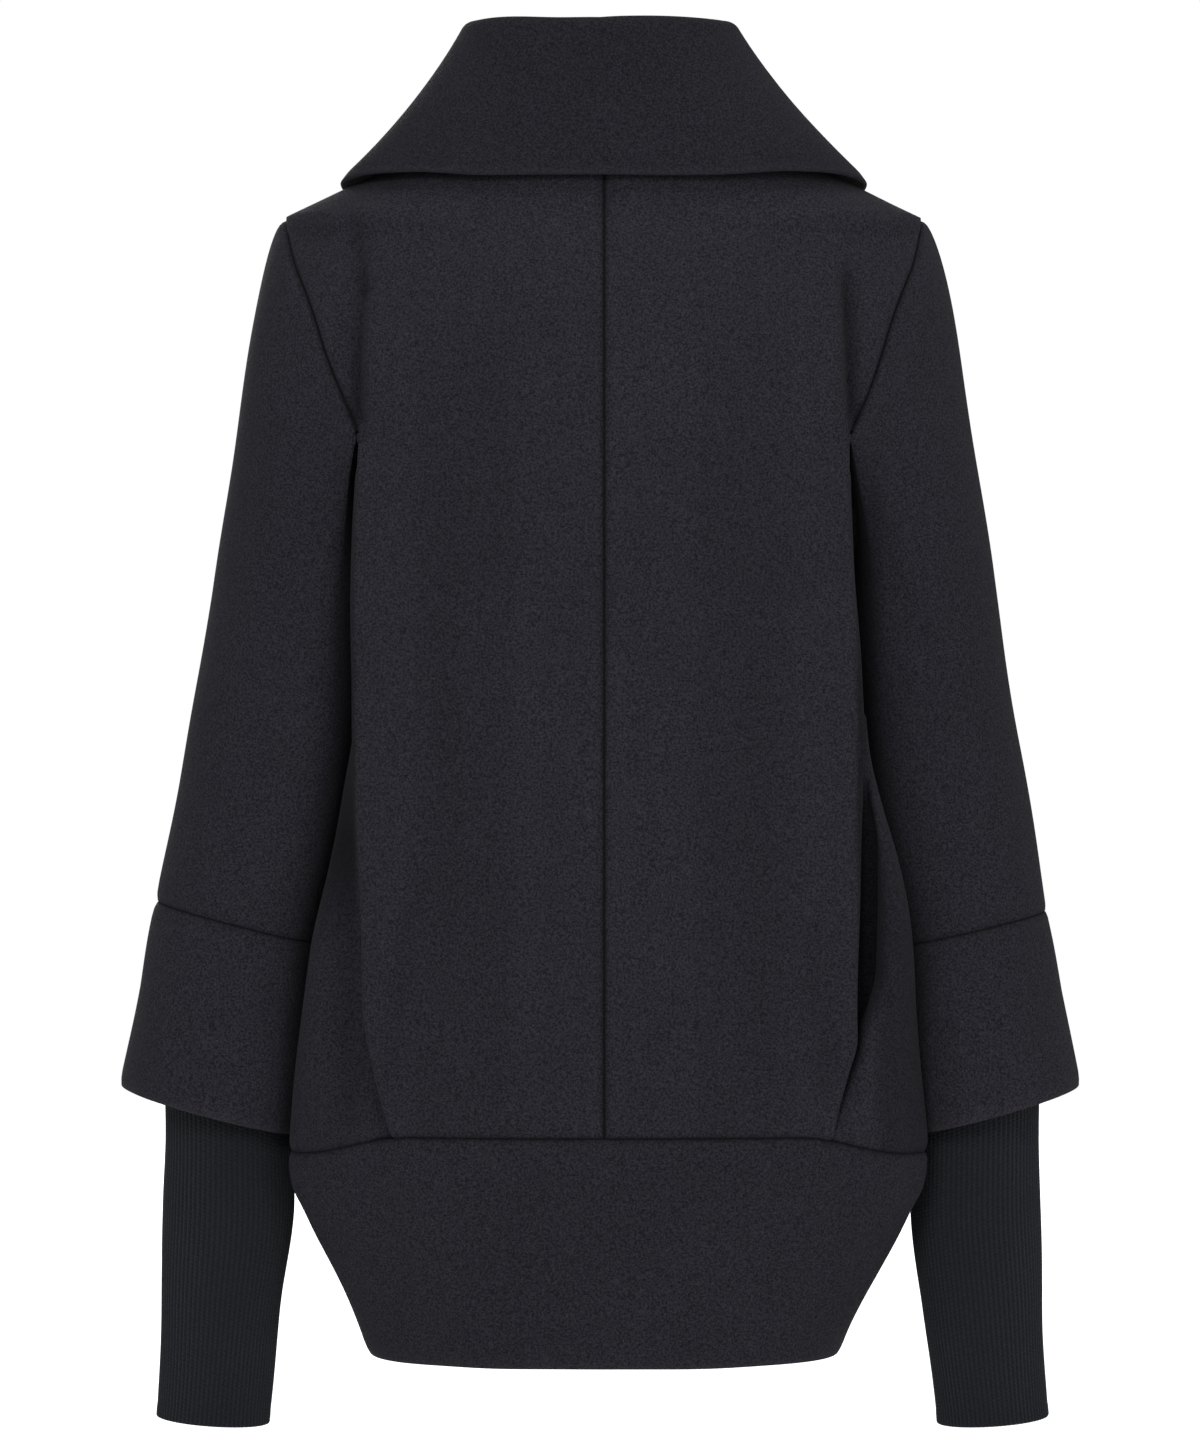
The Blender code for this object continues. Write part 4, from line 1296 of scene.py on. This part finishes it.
def rib_material(name):
    """Fine rib knit: stitches run up each rib; painted shade darkens the grooves and the stitched
    line.
    """
    knit = Shading(name)
    knit.set(Roughness=0.95, Specular_IOR_Level=0.06, Sheen_Weight=0.045, Sheen_Roughness=0.6,
             Sheen_Tint=(0.72, 0.80, 0.86, 1.0))
    place = knit.add("TexCoord").outputs["Object"]
    chart = knit.add("SeparateXYZ", {0: knit.add("UVMap", uv_map="cloth").outputs[0]})
    across = knit.math("FRACT", knit.times(chart.outputs[0], 1.0 / (RIB_PITCH * MM)))
    slant = knit.math("ABSOLUTE", knit.math("SUBTRACT", across, 0.5))
    rows = knit.times(chart.outputs[1], 1.0 / (STITCH_ROW * MM))
    stitch = knit.math("SINE", knit.times(knit.math("ADD", rows, slant), 2.0 * math.pi))
    stitch = knit.span(stitch, -1.0, 1.0)
    grain = knit.noise(place, 1100.0, 2.0, 0.6)
    cloud = knit.noise(place, 22.0, 3.0, 0.55)
    colour = knit.blend(knit.span(grain, 0.3, 0.7), DARK_KNIT, PALE_KNIT)
    colour = knit.blend(knit.times(stitch, 0.25), colour, DARK_KNIT)
    # Painted shade in the grooves between ribs and along the stitched line.
    colour = knit.blend(knit.times(knit.mark("groove"), 0.6), colour, SHADED_KNIT)
    colour = knit.blend(knit.times(knit.mark("fold"), 0.5), colour, SHADED_KNIT)
    colour = knit.blend(knit.span(cloud, 0.3, 0.7, 0.0, 0.25), colour, DARK_KNIT)
    height = knit.math("ADD", knit.times(stitch, 0.8), knit.times(grain, 0.5))
    return knit.finish(colour, height, KNIT_BUMP)


# Kinds of edges: top, bottom and, where the sheet isn't a tube, start and end.
SEWN_PANEL = ("seam", "seam", "seam", "seam")
LAPPED_PANEL = ("seam", "seam", "hem", "seam")
SLEEVE_EDGES = ("seam", "pressed")
CUFF_EDGES = ("pressed", "hem")
BAND_EDGES = ("seam", "hem", "hem", "hem")
COLLAR_EDGES = ("hem", "hem", "seam", "hem")


def outward(grid, closed):
    """+1 or -1: which way the grid's own normals have to be turned to face out of the coat."""
    grid = np.array(grid, float)
    normal = grid_normals(grid, closed, 1.0)[:, -1]
    inside = grid.mean(axis=1) if closed else grid[:, -1] * np.array((0.0, 0.0, 1.0))
    return 1.0 if np.sum(normal * (grid[:, -1] - inside)) > 0.0 else -1.0


def settle_in(piece, node):
    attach(piece, "root")
    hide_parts(node)


def wool_piece(node, grid, closed, wall, edges, number):
    cloth = Cloth(grid, closed, edges, outward(grid, closed))
    cloth.dress(node)
    piece = sheet_piece(node + "_cloth", cloth, wall)
    piece.data.materials.append(wool_material(node + "_wool", 0.37 * number))
    settle_in(piece, node)


def dress_coat():
    number = 0
    for side, label in ((1.0, "left"), (-1.0, "right")):
        back, front = "back_" + label, "front_" + label
        sleeve, cuff, rib = "sleeve_" + label, "cuff_" + label, "rib_" + label
        wool_piece(back, back_grid(side, BACK_FINE), False, WOOL, SEWN_PANEL, number)
        wool_piece(front, front_grid(side, FINE), False, WOOL, LAPPED_PANEL,
                   number + 1)
        wool_piece(sleeve, sleeve_grid(side, FINE), True, WOOL, SLEEVE_EDGES,
                   number + 2)
        wool_piece(cuff, cuff_grid(side, FINE), True, WOOL, CUFF_EDGES, number + 3)
        tube = rib_piece(rib + "_knit", side)
        tube.data.materials.append(rib_material(rib + "_yarn"))
        settle_in(tube, rib)
        number += 4
    wool_piece("hem_band", band_grid(FINE), False, DOUBLE, BAND_EDGES, number)
    wool_piece("collar", collar_grid(FINE), False, DOUBLE, COLLAR_EDGES,
               number + 1)


# The stage, in metres.
FLOOR_Z = -0.872
FLOOR_HALF = 3.4
ROOM_LIGHT = 0.5
VIEW = (0.00256, 3.4, -0.384)
SENSOR = 36.0
FRAME_HEIGHT = 0.9216  # what the picture's height spans at the coat


def soft_light(name, place, aim, size, power):
    data = bpy.data.lights.new(name, "AREA")
    data.shape = "DISK"
    data.size = size
    data.energy = power
    lamp = bpy.data.objects.new(name, data)
    way = np.array(aim) - np.array(place)
    lamp.location = place
    lamp.rotation_euler = (
        math.atan2(math.hypot(way[0], way[1]), -way[2]),
        0.0,
        math.atan2(way[1], way[0]) - math.pi / 2.0,
    )
    bpy.context.scene.collection.objects.link(lamp)


def stage_scene():
    scene = bpy.context.scene
    scene.view_settings.view_transform = "Standard"
    world = bpy.data.worlds.new("white room")
    world.use_nodes = True
    room = world.node_tree
    sky = room.nodes["Background"]
    seen = room.nodes.new("ShaderNodeBackground")
    for background, strength in ((sky, ROOM_LIGHT), (seen, 1.0)):
        background.inputs["Color"].default_value = WHITE
        background.inputs["Strength"].default_value = strength
    choice = room.nodes.new("ShaderNodeMixShader")
    ray = room.nodes.new("ShaderNodeLightPath")
    room.links.new(ray.outputs["Is Camera Ray"], choice.inputs[0])
    room.links.new(sky.outputs[0], choice.inputs[1])
    room.links.new(seen.outputs[0], choice.inputs[2])
    room.links.new(choice.outputs[0], room.nodes["World Output"].inputs[0])
    scene.world = world
    mesh = bpy.data.meshes.new("floor")
    corners = [(x * FLOOR_HALF, y * FLOOR_HALF, FLOOR_Z)
               for x, y in ((-1, -1), (1, -1), (1, 1), (-1, 1))]
    mesh.from_pydata(corners, [], [(0, 1, 2, 3)])
    floor = bpy.data.objects.new("floor", mesh)
    scene.collection.objects.link(floor)
    paper = Shading("pale floor")
    paper.set(Base_Color=(0.85, 0.85, 0.85, 1.0), Roughness=0.9, Specular_IOR_Level=0.0,
              Emission_Color=WHITE, Emission_Strength=0.42)
    mesh.materials.append(paper.material)
    soft_light("key", (0.7, 3.3, 1.1), (0.0, 0.0, -0.38), 1.6, 73.0)
    soft_light("top", (0.0, 0.35, 1.7), (0.0, 0.05, -0.1), 1.4, 24.0)
    soft_light("fill", (-1.6, 2.8, 0.2), (0.0, 0.0, -0.4), 1.8, 34.0)
    soft_light("front", (0.6, -3.0, 0.9), (0.0, 0.0, -0.4), 1.8, 70.0)
    camera = bpy.data.objects.new("camera", bpy.data.cameras.new("camera"))
    camera.data.sensor_width = SENSOR
    camera.data.lens = SENSOR * VIEW[1] / FRAME_HEIGHT
    camera.location = VIEW
    camera.rotation_euler = (math.pi / 2.0, 0.0, math.pi)
    scene.collection.objects.link(camera)
    scene.camera = camera


dress_coat()
stage_scene()
